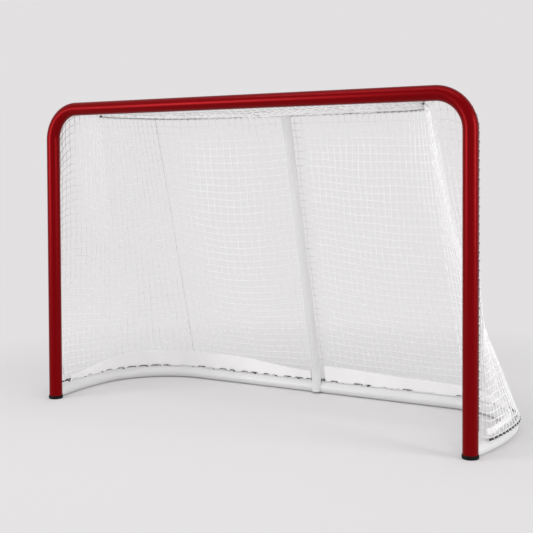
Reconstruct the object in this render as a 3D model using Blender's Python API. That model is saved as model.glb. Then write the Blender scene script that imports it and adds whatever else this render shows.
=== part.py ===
"""Ice hockey goal: a bent tube mouth, a D-shaped base, a rear top tube, a centre post and a laced net.

Metres, +Z up. The mouth faces -Y and the net runs back along +Y. The origin is on the floor, below
the middle of the goal. Everything is modelled from the goal line and moved by one parent empty.
"""

import math

import bmesh
import bpy
import numpy as np
from mathutils import Matrix, Vector

# Mouth: two posts, two bent corners and a crossbar, measured inside
OPENING_WIDTH = 1.8288
OPENING_HEIGHT = 1.2192
MOUTH_DIAMETER = 0.055
MOUTH_WALL = 0.0035
MOUTH_BEND_RADIUS = 0.130
CORNER_STRAIGHT = 0.010

# Base tube, lying on the floor behind the mouth
BASE_DIAMETER = 0.0483
BASE_WALL = 0.003
BASE_DEPTH = 0.655
BASE_FLARE = math.radians(14.0)
BASE_SIDE_END = math.radians(-4.0)
BASE_CORNER_RADIUS = 0.345

# Top tube, level with the crossbar and behind it
TOP_DIAMETER = 0.042
TOP_WALL = 0.0025
TOP_DEPTH = 0.394
TOP_START = 0.738
TOP_FLARE = math.radians(-9.5)
TOP_SIDE_END = math.radians(-25.0)
TOP_CORNER_RADIUS = 0.210

# Centre post, from under the top tube to the front of the base tube
CENTRE_DIAMETER = 0.040
CENTRE_WALL = 0.0025
CENTRE_TOP_SETBACK = 0.028
CENTRE_FOOT_SETBACK = 0.020
CENTRE_TOP_DROP = 0.004
CENTRE_FOOT_HEIGHT = 0.009
CENTRE_STRAIGHT_FOOT = 0.095
CENTRE_BEND_RADIUS = 0.300

# Rubber caps under the posts
CAP_HEIGHT = 0.014
CAP_FLOOR = 0.005
CAP_WALL = 0.0025
CAP_SPIGOT_WALL = 0.004
CAP_SPIGOT_HEIGHT = 0.022
CAP_EDGE_ROUND = 0.0015

# Lacing rods and the tabs that hold them off the tubes
ROD_DIAMETER = 0.008
ROD_STANDOFF = 0.010
POST_ROD_ANGLE = math.radians(72.0)
CROSSBAR_ROD_ANGLE = math.radians(120.0)
TOP_ROD_ANGLE = math.radians(-60.0)
BASE_ROD_ANGLE = math.radians(45.0)
POST_ROD_FOOT = 0.085
BASE_ROD_SETBACK = 0.085
TOP_ROD_SETBACK = 0.070
BEND_ROD_GAP = 0.025
CROSSBAR_ROD_GAP = 0.078
TAB_LENGTH = 0.010
TAB_THICKNESS = 0.004
TAB_EVERY = 2

# Net: the twine, the gaps along each edge, and where the sides meet the back
TWINE = 0.006
ROWS = 9
BEND_GAPS = 2
CROSSING_GAPS = 1
TOP_ROD_GAPS = 3
BACK_GAPS = 11
SEAM_BASE_X = 0.680
SEAM_TOP_X = 0.640
SIDE_SAG = 0.035
BACK_SAG = 0.050
SEAM_SAG = 0.008
ROOF_SAG = 0.012
NET_CORNER_SETBACK = 0.060
NET_CORNER_HEIGHT = 0.070

# Lacing cord, wound round each rod and the net's edge
LACING = 0.003
LACING_POINTS = 6
LACING_CLEARANCE = 0.0024

# Fabric skirt along the base, inside the net
SKIRT_THICKNESS = 0.002
SKIRT_LEFT_HEIGHTS = (0.030, 0.085, 0.080, 0.045)
SKIRT_RIGHT_HEIGHTS = (0.075, 0.060, 0.040, 0.025)
SKIRT_END_SETBACK = 0.120
SKIRT_CENTRE_GAP = 0.034
SKIRT_STEPS = 26

# Clearances and facets
TOUCH = 0.0003
TWINE_CLEARANCE = 0.0006
ARC_STEP = math.radians(9.0)
MOUTH_SIDES = 20
BASE_SIDES = 16
TOP_SIDES = 14
CENTRE_SIDES = 16
CENTRE_BEND_POINTS = 4
CAP_SIDES = 24
CUTTER_SIDES = 32
CUTTER_REACH = 0.200
ROD_SIDES = 6
JOIN_DISTANCE = 0.00001

MOUTH_RADIUS = MOUTH_DIAMETER / 2
BASE_RADIUS = BASE_DIAMETER / 2
TOP_RADIUS = TOP_DIAMETER / 2
ROD_RADIUS = ROD_DIAMETER / 2
ROOF_ROWS = CROSSING_GAPS + TOP_ROD_GAPS
SIDE_GAPS = BEND_GAPS + ROOF_ROWS
POST_X = OPENING_WIDTH / 2 + MOUTH_RADIUS
CROSSBAR_Z = OPENING_HEIGHT + MOUTH_RADIUS
NET_SEAT = ROD_RADIUS + TWINE / 2 + TWINE_CLEARANCE

ACROSS = Vector((1, 0, 0))
BACK = Vector((0, 1, 0))
UP = Vector((0, 0, 1))

COLOURS = {
    "red_paint": ((0.28, 0.008, 0.010), 0.25, 0.0),
    "white_paint": ((0.80, 0.80, 0.80), 0.35, 0.0),
    "rod_steel": ((0.10, 0.10, 0.10), 0.45, 0.8),
    "cap_rubber": ((0.012, 0.012, 0.012), 0.6, 0.0),
    "net_twine": ((0.82, 0.82, 0.81), 0.85, 0.0),
    "lacing_cord": ((0.75, 0.75, 0.74), 0.85, 0.0),
    "skirt_fabric": ((0.80, 0.80, 0.79), 0.8, 0.0),
}


class Route:
    """A line through space with two section axes, read by the distance along it."""

    def __init__(self, points, sides, rise):
        self.points = [Vector(p) for p in points]
        self.sides = [Vector(s).normalized() for s in sides]
        self.rise = Vector(rise)
        self.marks = [0.0]
        for near, far in zip(self.points, self.points[1:]):
            self.marks.append(self.marks[-1] + (far - near).length)
        self.length = self.marks[-1]

    def read(self, values, distance):
        """Value at a distance, straight between the two points round it."""
        distance = min(max(distance, 0.0), self.length)
        k = min(max(int(np.searchsorted(self.marks, distance)), 1), len(self.marks) - 1)
        share = (distance - self.marks[k - 1]) / (self.marks[k] - self.marks[k - 1])
        return values[k - 1].lerp(values[k], share)

    def at(self, distance):
        return self.read(self.points, distance)

    def side_at(self, distance):
        return self.read(self.sides, distance).normalized()

    def heading(self, distance):
        return self.rise.cross(self.side_at(distance)).normalized()

    def shifted(self, along_side, along_rise):
        """The same line moved across its section."""
        moved = [p + s * along_side + self.rise * along_rise for p, s in zip(self.points, self.sides)]
        return Route(moved, self.sides, self.rise)

    def part(self, start, end):
        """The stretch between two distances."""
        inner = [k for k, mark in enumerate(self.marks) if start + 1e-6 < mark < end - 1e-6]
        points = [self.at(start)] + [self.points[k] for k in inner] + [self.at(end)]
        sides = [self.side_at(start)] + [self.sides[k] for k in inner] + [self.side_at(end)]
        return Route(points, sides, self.rise)

    def where_across(self, x):
        """Distance at which the line passes X, counted from its right end."""
        for k in range(len(self.points) - 1, 0, -1):
            far, near = self.points[k].x, self.points[k - 1].x
            if near <= x <= far:
                share = (x - near) / (far - near)
                return self.marks[k - 1] + share * (self.marks[k] - self.marks[k - 1])
        raise ValueError("the line never passes that place")


def arc_angles(start, end):
    """Angles along an arc, a facet apart."""
    count = max(2, math.ceil(abs(end - start) / ARC_STEP))
    return [start + (end - start) * k / count for k in range(count + 1)]


def plan_route(start_x, depth, flare, side_end, corner_radius, height):
    """D-shaped line in plan, left to right: a long side arc, a corner and a straight rear."""
    corner_depth = corner_radius * (1 + math.sin(side_end))
    side_radius = (depth - corner_depth) / (math.sin(flare) - math.sin(side_end))
    point, points, sides = Vector((start_x, 0, height)), [], []
    for radius, start, end in ((side_radius, flare, side_end), (corner_radius, side_end, -math.pi / 2)):
        centre = point - radius * Vector((math.cos(start), -math.sin(start), 0))
        for angle in arc_angles(start, end):
            outward = Vector((math.cos(angle), -math.sin(angle), 0))
            point = centre + radius * outward
            if not points or (point - points[-1]).length > 1e-6:
                points.append(point)
                sides.append(outward)
    points.append(Vector((0, depth, height)))
    sides.append(Vector(BACK))
    flip = Vector((-1, 1, 1))
    left = [p * flip for p in points[:-1]]
    left_sides = [s * flip for s in sides[:-1]]
    return Route(left + points[::-1], left_sides + sides[::-1], UP)


def mouth_route(foot):
    """The mouth's line from the left foot, over both bends, to the right foot."""
    points, sides = [Vector((-POST_X, 0, foot))], [-ACROSS]
    bend_x, bend_z = POST_X - MOUTH_BEND_RADIUS, CROSSBAR_Z - MOUTH_BEND_RADIUS
    for angle in arc_angles(math.pi, 0):
        outward = Vector((math.cos(angle), 0, math.sin(angle)))
        centre = Vector((math.copysign(bend_x, outward.x), 0, bend_z))
        if abs(outward.x) < 1e-6:
            points += [Vector((-bend_x, 0, CROSSBAR_Z)), Vector((bend_x, 0, CROSSBAR_Z))]
            sides += [Vector(UP), Vector(UP)]
            continue
        points.append(centre + MOUTH_BEND_RADIUS * outward)
        sides.append(outward)
    points.append(Vector((POST_X, 0, foot)))
    sides.append(Vector(ACROSS))
    return Route(points, sides, BACK)


MOUTH_LINE = mouth_route(CAP_FLOOR + TOUCH)
BASE_LINE = plan_route(POST_X, BASE_DEPTH, BASE_FLARE, BASE_SIDE_END, BASE_CORNER_RADIUS, BASE_RADIUS)
TOP_LINE = plan_route(TOP_START, TOP_DEPTH, TOP_FLARE, TOP_SIDE_END, TOP_CORNER_RADIUS, CROSSBAR_Z)


def rod_line(line, tube_radius, angle):
    """Where a tube's lacing rod runs: a standoff away, at an angle in the tube's section."""
    reach = tube_radius + ROD_STANDOFF + ROD_RADIUS
    return line.shifted(reach * math.cos(angle), reach * math.sin(angle))


POST_ROD_LINE = rod_line(MOUTH_LINE, MOUTH_RADIUS, POST_ROD_ANGLE)
CROSSBAR_ROD_LINE = rod_line(MOUTH_LINE, MOUTH_RADIUS, CROSSBAR_ROD_ANGLE)
BASE_ROD_LINE = rod_line(BASE_LINE, BASE_RADIUS, BASE_ROD_ANGLE)
TOP_ROD_LINE = rod_line(TOP_LINE, TOP_RADIUS, TOP_ROD_ANGLE)

# Distances along the rods at which they start, and at which the net's panels meet
POST_ROD_START = POST_ROD_FOOT - (CAP_FLOOR + TOUCH)
BEND_START = CROSSBAR_Z - MOUTH_BEND_RADIUS - (CAP_FLOOR + TOUCH)
POST_ROD_END = POST_ROD_LINE.length - POST_ROD_LINE.where_across(TOP_START + TOP_RADIUS + BEND_ROD_GAP)
CROSSBAR_ROD_START = CROSSBAR_ROD_LINE.length - CROSSBAR_ROD_LINE.where_across(TOP_START - CROSSBAR_ROD_GAP)
SEAM_BASE = BASE_ROD_LINE.length - BASE_ROD_LINE.where_across(SEAM_BASE_X)
SEAM_TOP = TOP_ROD_LINE.length - TOP_ROD_LINE.where_across(SEAM_TOP_X)
SEAM_GAP = TWINE / 2 + TWINE_CLEARANCE
SKIRT_SEAT = 2 * TOUCH


def material(name):
    """A plain surface with its colour, roughness and metallic value."""
    colour, roughness, metallic = COLOURS[name]
    made = bpy.data.materials.get(name) or bpy.data.materials.new(name)
    made.use_nodes = True
    shader = made.node_tree.nodes["Principled BSDF"]
    shader.inputs["Base Color"].default_value = (*colour, 1)
    shader.inputs["Roughness"].default_value = roughness
    shader.inputs["Metallic"].default_value = metallic
    made.diffuse_color = (*colour, 1)
    return made


def place(name, data, parent, finish):
    """Puts a piece in the scene under the goal's empty."""
    piece = bpy.data.objects.new(name, data)
    bpy.context.collection.objects.link(piece)
    piece.parent = parent
    if finish:
        data.materials.clear()
        data.materials.append(material(finish))
    return piece


def mesh_from(bm, name, smooth_angle=30.0):
    """Turns a bmesh into a smooth-shaded mesh."""
    mesh = bpy.data.meshes.new(name)
    bm.to_mesh(mesh)
    bm.free()
    mesh.shade_smooth()
    mesh.set_sharp_from_angle(angle=math.radians(smooth_angle))
    return mesh


def swept(name, points, diameter, sides, capped):
    """A round section swept along points, as a curve."""
    curve = bpy.data.curves.new(name, "CURVE")
    curve.dimensions = "3D"
    curve.bevel_depth = diameter / 2
    curve.bevel_resolution = (sides - 4) // 2
    curve.use_fill_caps = capped
    spline = curve.splines.new("POLY")
    spline.points.add(len(points) - 1)
    for spot, point in zip(spline.points, points):
        spot.co = (*point, 1)
    return curve


def mesh_of_curve(curve):
    """The mesh that a swept curve makes."""
    holder = bpy.data.objects.new(curve.name, curve)
    bpy.context.collection.objects.link(holder)
    mesh = bpy.data.meshes.new_from_object(holder)
    bpy.data.objects.remove(holder)
    return mesh


def cylinder_cutter(name, centre, axis, radius, parent):
    """A hidden cylinder that copes a tube's end."""
    bm = bmesh.new()
    bmesh.ops.create_cone(bm, cap_ends=True, segments=CUTTER_SIDES, radius1=radius, radius2=radius,
                          depth=2 * CUTTER_REACH)
    bmesh.ops.rotate(bm, verts=bm.verts, matrix=axis.to_track_quat("Z", "Y").to_matrix())
    cutter = place(name, mesh_from(bm, name), parent, None)
    cutter.location = centre
    cutter.hide_render = True
    cutter.display_type = "WIRE"
    return cutter


def tube(name, route, diameter, wall, sides, parent, finish, cutters=()):
    """A hollow bent tube with open ends, coped where it meets other tubes."""
    mesh = mesh_of_curve(swept(name, route.points, diameter, sides, False))
    mesh.shade_smooth()
    piece = place(name, mesh, parent, finish)
    hollow = piece.modifiers.new("wall", "SOLIDIFY")
    hollow.thickness = wall
    hollow.offset = -1
    hollow.use_even_offset = True
    for cutter in cutters:
        cope = piece.modifiers.new("cope", "BOOLEAN")
        cope.operation = "DIFFERENCE"
        cope.object = cutter
        cope.solver = "EXACT"
    return piece


def closed_mesh(curve):
    """A capped curve's mesh with its caps joined to its sides."""
    mesh = mesh_of_curve(curve)
    bm = bmesh.new()
    bm.from_mesh(mesh)
    bmesh.ops.remove_doubles(bm, verts=bm.verts, dist=JOIN_DISTANCE)
    bm.to_mesh(mesh)
    bm.free()
    return mesh


def rod(name, line, start, end, tube_line, marks, parent):
    """A thin steel rod along part of a line, with welded tabs that reach back to its tube."""
    mesh = closed_mesh(swept(name, line.part(start, end).points, ROD_DIAMETER, ROD_SIDES, True))
    piece = place(name, mesh, parent, "rod_steel")
    welded = piece.modifiers.new("tabs", "BOOLEAN")
    welded.operation = "UNION"
    welded.object = tabs(name + "_tabs", tube_line, line, marks, parent)
    welded.solver = "EXACT"
    return piece


def tabs(name, tube_line, line, marks, parent):
    """Small plates half way along every second gap, where the lacing is on the net's side of the rod."""
    bm = bmesh.new()
    offset = line.points[0] - tube_line.points[0]
    along_side, along_rise = offset.dot(line.sides[0]), offset.dot(line.rise)
    length = ROD_RADIUS + ROD_STANDOFF - TOUCH
    for near, far in zip(marks[::TAB_EVERY], marks[1::TAB_EVERY]):
        distance = (near + far) / 2
        outward = (line.side_at(distance) * along_side + line.rise * along_rise).normalized()
        heading = line.heading(distance)
        turned = Matrix((heading, outward.cross(heading), outward)).transposed()
        made = bmesh.ops.create_cube(bm, size=1.0)["verts"]
        bmesh.ops.scale(bm, verts=made, vec=(TAB_LENGTH, TAB_THICKNESS, length))
        bmesh.ops.translate(bm, verts=made, vec=(0, 0, -length / 2))
        bmesh.ops.rotate(bm, verts=made, matrix=turned)
        bmesh.ops.translate(bm, verts=made, vec=line.at(distance))
    plates = place(name, mesh_from(bm, name), parent, "rod_steel")
    plates.hide_render = True
    plates.display_type = "WIRE"
    return plates


def foot_cap(name, x, parent):
    """A rubber ferrule: a floor, a skirt outside the post's end and a spigot up its bore."""
    outer = MOUTH_RADIUS + CAP_WALL
    bore = MOUTH_RADIUS - MOUTH_WALL - TOUCH * 2
    profile = [
        (bore - CAP_SPIGOT_WALL, 0), (outer - CAP_EDGE_ROUND, 0), (outer, CAP_EDGE_ROUND),
        (outer, CAP_HEIGHT), (MOUTH_RADIUS + TOUCH, CAP_HEIGHT), (MOUTH_RADIUS + TOUCH, CAP_FLOOR),
        (bore, CAP_FLOOR), (bore, CAP_SPIGOT_HEIGHT), (bore - CAP_SPIGOT_WALL, CAP_SPIGOT_HEIGHT),
    ]
    bm = bmesh.new()
    verts = [bm.verts.new((radius, 0, height)) for radius, height in profile]
    edges = [bm.edges.new((verts[k], verts[(k + 1) % len(verts)])) for k in range(len(verts))]
    bmesh.ops.spin(bm, geom=verts + edges, cent=(0, 0, 0), axis=(0, 0, 1), angle=2 * math.pi,
                   steps=CAP_SIDES, use_merge=True)
    bmesh.ops.recalc_face_normals(bm, faces=bm.faces)
    piece = place(name, mesh_from(bm, name), parent, "cap_rubber")
    piece.location = (x, 0, 0)
    return piece


def centre_post_route():
    """From the top tube's lower front, leaning back, then upright on the base tube's front."""
    foot_y = BASE_DEPTH - CENTRE_FOOT_SETBACK
    top = Vector((0, TOP_DEPTH - CENTRE_TOP_SETBACK, CROSSBAR_Z - CENTRE_TOP_DROP))
    turn = Vector((0, foot_y, CENTRE_STRAIGHT_FOOT + CENTRE_FOOT_HEIGHT))
    lean = math.atan2(turn.y - top.y, top.z - turn.z)
    reach = CENTRE_BEND_RADIUS * math.tan(lean / 2)
    centre = Vector((0, foot_y - CENTRE_BEND_RADIUS, turn.z - reach))
    points = [top]
    for angle in np.linspace(lean, 0, CENTRE_BEND_POINTS):
        points.append(centre + CENTRE_BEND_RADIUS * Vector((0, math.cos(angle), math.sin(angle))))
    points.append(Vector((0, foot_y, CENTRE_FOOT_HEIGHT)))
    return Route(points, [ACROSS] * len(points), BACK)


def stretch(near, far):
    """Share 0 to 1 as a value between two ends."""
    return lambda share: near + (far - near) * share


def laid(line, near, far, leave):
    """A net edge lying against a rod, a seat away in the direction that the net leaves."""
    place_on = stretch(near, far)
    return lambda share: line.at(place_on(share)) + NET_SEAT * leave(line, place_on(share))


def leave_rear(line, distance):
    return Vector(BACK)


def leave_up(line, distance):
    """From the base rod towards the top of the net."""
    low = line.at(distance)
    share = distance / line.length
    high = TOP_ROD_LINE.at(share * TOP_ROD_LINE.length)
    return (high - low).normalized()


def leave_down(line, distance):
    """From the top rod towards the base of the net."""
    high = line.at(distance)
    share = distance / line.length
    low = BASE_ROD_LINE.at(share * BASE_ROD_LINE.length)
    return (low - high).normalized()


def leave_inward(line, distance):
    """From the top rod towards the crossbar's middle, level with the roof."""
    return -line.side_at(distance)


def mirrored(find):
    """The same edge on the other side of the goal."""
    return lambda share: find(share) * Vector((-1, 1, 1))


def side_base_edge():
    """Left panel's lower edge, from the mouth back to the seam."""
    corner = Vector((-POST_X, NET_CORNER_SETBACK, NET_CORNER_HEIGHT))
    rest = laid(BASE_ROD_LINE, 0.0, SEAM_BASE - SEAM_GAP, leave_up)
    return lambda share: corner if share < 1e-6 else rest(share)


def side_post_edge():
    """Left panel's front edge, up the post to the bend."""
    corner = Vector((-POST_X, NET_CORNER_SETBACK, NET_CORNER_HEIGHT))
    rest = laid(POST_ROD_LINE, NET_CORNER_HEIGHT, BEND_START, leave_rear)
    return lambda share: corner if share < 1e-6 else rest(share)


def joined(first, first_gaps, second, second_gaps):
    """One edge after another, with a straight crossing between them."""
    gaps = first_gaps + CROSSING_GAPS + second_gaps

    def find(share):
        gap = share * gaps
        if gap <= first_gaps:
            return first(gap / first_gaps if first_gaps else 1.0)
        if gap < first_gaps + CROSSING_GAPS:
            return first(1.0).lerp(second(0.0), (gap - first_gaps) / CROSSING_GAPS)
        return second(min(1.0, (gap - first_gaps - CROSSING_GAPS) / second_gaps))

    return find


def side_top_edge():
    """Left panel's upper edge: round the mouth's bend, then back along the top tube."""
    bend = laid(POST_ROD_LINE, BEND_START, POST_ROD_END, leave_rear)
    along_tube = laid(TOP_ROD_LINE, TOP_ROD_SETBACK, SEAM_TOP - SEAM_GAP, leave_down)
    return joined(bend, BEND_GAPS, along_tube, TOP_ROD_GAPS)


def seam_edge(low, high):
    """Where a side meets the back: a line from base to top that hangs a little inwards."""
    inward = Vector((-math.copysign(1, low.x), -1, 0)).normalized()
    return lambda share: low.lerp(high, share) + inward * SEAM_SAG * math.sin(math.pi * share)


def as_twine(find, gaps, bent):
    """An edge as its twine runs: straight between the lattice's points, with a point half way if it is bent."""
    count = gaps * (2 if bent else 1)

    def read(share):
        k = min(int(share * count), count - 1)
        return find(k / count).lerp(find((k + 1) / count), share * count - k)

    return read


def panel(name, low, high, start, end, across_gaps, up_gaps, sag, parent, bent=(True, True, False)):
    """A net panel between four edges, as a lattice with every gap open; bent edges get a point half way."""
    bm = bmesh.new()
    bmesh.ops.create_grid(bm, x_segments=across_gaps, y_segments=up_gaps, size=0.5)
    bmesh.ops.translate(bm, verts=bm.verts, vec=(0.5, 0.5, 0))
    wanted = []
    for edge in bm.edges:
        near, far = edge.verts[0].co, edge.verts[1].co
        on_low, on_high = max(near.y, far.y) < 1e-6, min(near.y, far.y) > 1 - 1e-6
        on_side = max(near.x, far.x) < 1e-6 or min(near.x, far.x) > 1 - 1e-6
        if bent[0] and on_low or bent[1] and on_high or bent[2] and on_side:
            wanted.append(edge)
    if wanted:
        bmesh.ops.subdivide_edges(bm, edges=wanted, cuts=1)
    corners = low(0), low(1), high(0), high(1)
    for vert in bm.verts:
        u, v = vert.co.x, vert.co.y
        ruled_up = low(u).lerp(high(u), v)
        ruled_across = start(v).lerp(end(v), u)
        plain = corners[0].lerp(corners[1], u).lerp(corners[2].lerp(corners[3], u), v)
        vert.co = ruled_up + ruled_across - plain + sag(u, v)
    mesh = bpy.data.meshes.new(name)
    bm.to_mesh(mesh)
    bm.free()
    piece = place(name, mesh, parent, "net_twine")
    lattice = piece.modifiers.new("twine", "WIREFRAME")
    lattice.thickness = TWINE
    lattice.use_boundary = True
    lattice.use_even_offset = False
    lattice.use_replace = True
    return piece


def support(discs, angle):
    """How far a ring of discs reaches at an angle in the section."""
    return max(x * math.cos(angle) + y * math.sin(angle) + radius for x, y, radius in discs)


def lacing_points(line, marks, edges):
    """A cord's way round a rod and the net edges beside it: one turn for each gap, with its ends on the rod."""
    points = []
    tilt = 2 * math.pi / LACING_POINTS
    for gap in range(len(marks) - 1):
        for step in range(LACING_POINTS + (gap == len(marks) - 2)):
            share = step / LACING_POINTS
            at_end = gap + share in (0, len(marks) - 1)
            distance = marks[gap] + (marks[gap + 1] - marks[gap]) * share
            spot, side, rise = line.at(distance), line.side_at(distance), line.rise
            discs = [(0.0, 0.0, ROD_RADIUS)]
            away = Vector((0, 0))
            for edge in edges:
                offset = edge(gap + share) - spot
                flat = Vector((offset.dot(side), offset.dot(rise)))
                discs.append((flat.x, flat.y, TWINE / 2))
                away += flat
            angle = math.atan2(-away.y, -away.x) + 2 * math.pi * share
            clear = LACING / 2 + LACING_CLEARANCE
            reach = [support(discs, angle + turn) + clear for turn in (-tilt / 2, tilt / 2)]
            out = (reach[0] + reach[1]) / (2 * math.cos(tilt / 2))
            swing = (reach[1] - reach[0]) / (2 * math.sin(tilt / 2))
            if at_end:
                out, swing = ROD_RADIUS + LACING / 2 + TOUCH, 0.0
            x = out * math.cos(angle) - swing * math.sin(angle)
            y = out * math.sin(angle) + swing * math.cos(angle)
            points.append(spot + side * x + rise * y)
    return points


def lacing(name, line, marks, edges, parent):
    """A lacing cord as one unbroken tube."""
    curve = swept(name, lacing_points(line, marks, edges), LACING, 4, True)
    return place(name, curve, parent, "lacing_cord")


def skirt(name, start, end, heights, parent):
    """A strip of cloth standing on the base tube, just inside the net."""
    bm = bmesh.new()
    rows = []
    for step in range(SKIRT_STEPS + 1):
        share = step / SKIRT_STEPS
        distance = start + (end - start) * share
        foot = BASE_LINE.at(distance) + UP * (BASE_RADIUS + SKIRT_SEAT)
        rod_share = distance / BASE_LINE.length
        lean = leave_up(BASE_ROD_LINE, rod_share * BASE_ROD_LINE.length)
        height = float(np.interp(share * (len(heights) - 1), range(len(heights)), heights))
        rows.append((bm.verts.new(foot), bm.verts.new(foot + lean * height)))
    for near, far in zip(rows, rows[1:]):
        bm.faces.new((near[0], far[0], far[1], near[1]))
    piece = place(name, mesh_from(bm, name), parent, "skirt_fabric")
    cloth = piece.modifiers.new("cloth", "SOLIDIFY")
    cloth.thickness = SKIRT_THICKNESS
    cloth.offset = 0
    return piece


def clear_scene():
    """Removes whatever the file opened with."""
    for old in list(bpy.data.objects):
        bpy.data.objects.remove(old, do_unlink=True)


def build():
    """Models every piece of the goal."""
    clear_scene()
    goal = bpy.data.objects.new("goal", None)
    bpy.context.collection.objects.link(goal)

    build_frame(goal)
    build_rods(goal)
    build_net(goal)
    build_skirts(goal)
    centre_on_origin(goal)


def centre_on_origin(goal):
    """Moves the whole goal so that the origin is half way between its front and its rear."""
    graph = bpy.context.evaluated_depsgraph_get()
    places = []
    for piece in goal.children:
        if not piece.hide_render:
            seen = piece.evaluated_get(graph)
            places += [(seen.matrix_world @ vert.co).y for vert in seen.to_mesh().vertices]
            seen.to_mesh_clear()
    goal.location.y = -(min(places) + max(places)) / 2


def build_frame(goal):
    """The tubes and the caps they stand on."""
    cap_cut = CAP_HEIGHT + TOUCH - CUTTER_REACH
    post_cutters = []
    for side, x in (("left", -POST_X), ("right", POST_X)):
        post_cutters += [
            cylinder_cutter(side + "_post_cutter", Vector((x, 0, 0)), UP, MOUTH_RADIUS + TOUCH, goal),
            cylinder_cutter(side + "_cap_cutter", Vector((x, 0, cap_cut)), UP, MOUTH_RADIUS + CAP_WALL + TOUCH, goal),
        ]
    bar_cutters = [
        cylinder_cutter("left_bar_cutter", Vector((-TOP_START, 0, CROSSBAR_Z)), ACROSS, MOUTH_RADIUS + TOUCH, goal),
        cylinder_cutter("right_bar_cutter", Vector((TOP_START, 0, CROSSBAR_Z)), ACROSS, MOUTH_RADIUS + TOUCH, goal),
    ]
    rear_cutters = [
        cylinder_cutter("top_tube_cutter", Vector((0, TOP_DEPTH, CROSSBAR_Z)), ACROSS, TOP_RADIUS + TOUCH, goal),
        cylinder_cutter("base_tube_cutter", Vector((0, BASE_DEPTH, BASE_RADIUS)), ACROSS, BASE_RADIUS + TOUCH, goal),
    ]
    for name, start, end in mouth_parts():
        tube(name, MOUTH_LINE.part(start, end), MOUTH_DIAMETER, MOUTH_WALL, MOUTH_SIDES, goal, "red_paint")
    tube("base_tube", BASE_LINE, BASE_DIAMETER, BASE_WALL, BASE_SIDES, goal, "white_paint", post_cutters)
    tube("top_tube", TOP_LINE, TOP_DIAMETER, TOP_WALL, TOP_SIDES, goal, "white_paint", bar_cutters)
    tube("centre_post", centre_post_route(), CENTRE_DIAMETER, CENTRE_WALL, CENTRE_SIDES, goal, "white_paint",
         rear_cutters)
    foot_cap("foot_cap_left", -POST_X, goal)
    foot_cap("foot_cap_right", POST_X, goal)


def mouth_parts():
    """Where each tube of the mouth starts and ends, with the butt joints just past the bends."""
    whole = MOUTH_LINE.length
    low = BEND_START - CORNER_STRAIGHT
    high = whole - MOUTH_LINE.where_across(POST_X - MOUTH_BEND_RADIUS) + CORNER_STRAIGHT
    return (
        ("left_post", 0.0, low), ("left_corner", low + TOUCH, high - TOUCH), ("crossbar", high, whole - high),
        ("right_corner", whole - high + TOUCH, whole - low - TOUCH), ("right_post", whole - low, whole),
    )


def build_rods(goal):
    """Lacing rods, each held off its tube by welded tabs."""
    post, bar = POST_ROD_LINE.length, CROSSBAR_ROD_LINE.length
    top, base = TOP_ROD_LINE.length, BASE_ROD_LINE.length
    left = post_marks()
    right = [post - mark for mark in left]
    rod("post_lacing_rod_left", POST_ROD_LINE, POST_ROD_START, POST_ROD_END, MOUTH_LINE, left, goal)
    rod("post_lacing_rod_right", POST_ROD_LINE, post - POST_ROD_END, post - POST_ROD_START, MOUTH_LINE, right, goal)
    rod("crossbar_lacing_rod", CROSSBAR_ROD_LINE, CROSSBAR_ROD_START, bar - CROSSBAR_ROD_START, MOUTH_LINE,
        crossbar_marks(), goal)
    rod("top_lacing_rod", TOP_ROD_LINE, TOP_ROD_SETBACK, top - TOP_ROD_SETBACK, TOP_LINE, top_marks(), goal)
    rod("base_lacing_rod", BASE_ROD_LINE, BASE_ROD_SETBACK, base - BASE_ROD_SETBACK, BASE_LINE, base_marks(), goal)


def even(near, far, count):
    """Distances that share a stretch out evenly."""
    return [near + (far - near) * k / count for k in range(count + 1)]


def post_marks():
    """Where the net's twines meet the left post's rod, from the second row to the rod's end."""
    up = even(NET_CORNER_HEIGHT, BEND_START, ROWS)[1:]
    return up + even(BEND_START, POST_ROD_END, BEND_GAPS)[1:]


def crossbar_marks():
    """Where the roof's twines meet the crossbar's rod."""
    return even(CROSSBAR_ROD_START, CROSSBAR_ROD_LINE.length - CROSSBAR_ROD_START, BACK_GAPS)


def top_marks():
    """Where the net's twines meet the top tube's rod, from end to end."""
    end = TOP_ROD_LINE.length
    left = even(TOP_ROD_SETBACK, SEAM_TOP - SEAM_GAP, TOP_ROD_GAPS)[:-1]
    rear = even(SEAM_TOP, end - SEAM_TOP, BACK_GAPS)
    return left + rear + [end - mark for mark in left[::-1]]


def base_marks():
    """Where the net's twines meet the base tube's rod, without the two corners at the posts."""
    end = BASE_ROD_LINE.length
    left = even(0.0, SEAM_BASE - SEAM_GAP, SIDE_GAPS)[1:-1]
    rear = even(SEAM_BASE, end - SEAM_BASE, BACK_GAPS)
    return left + rear + [end - mark for mark in left[::-1]]


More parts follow.
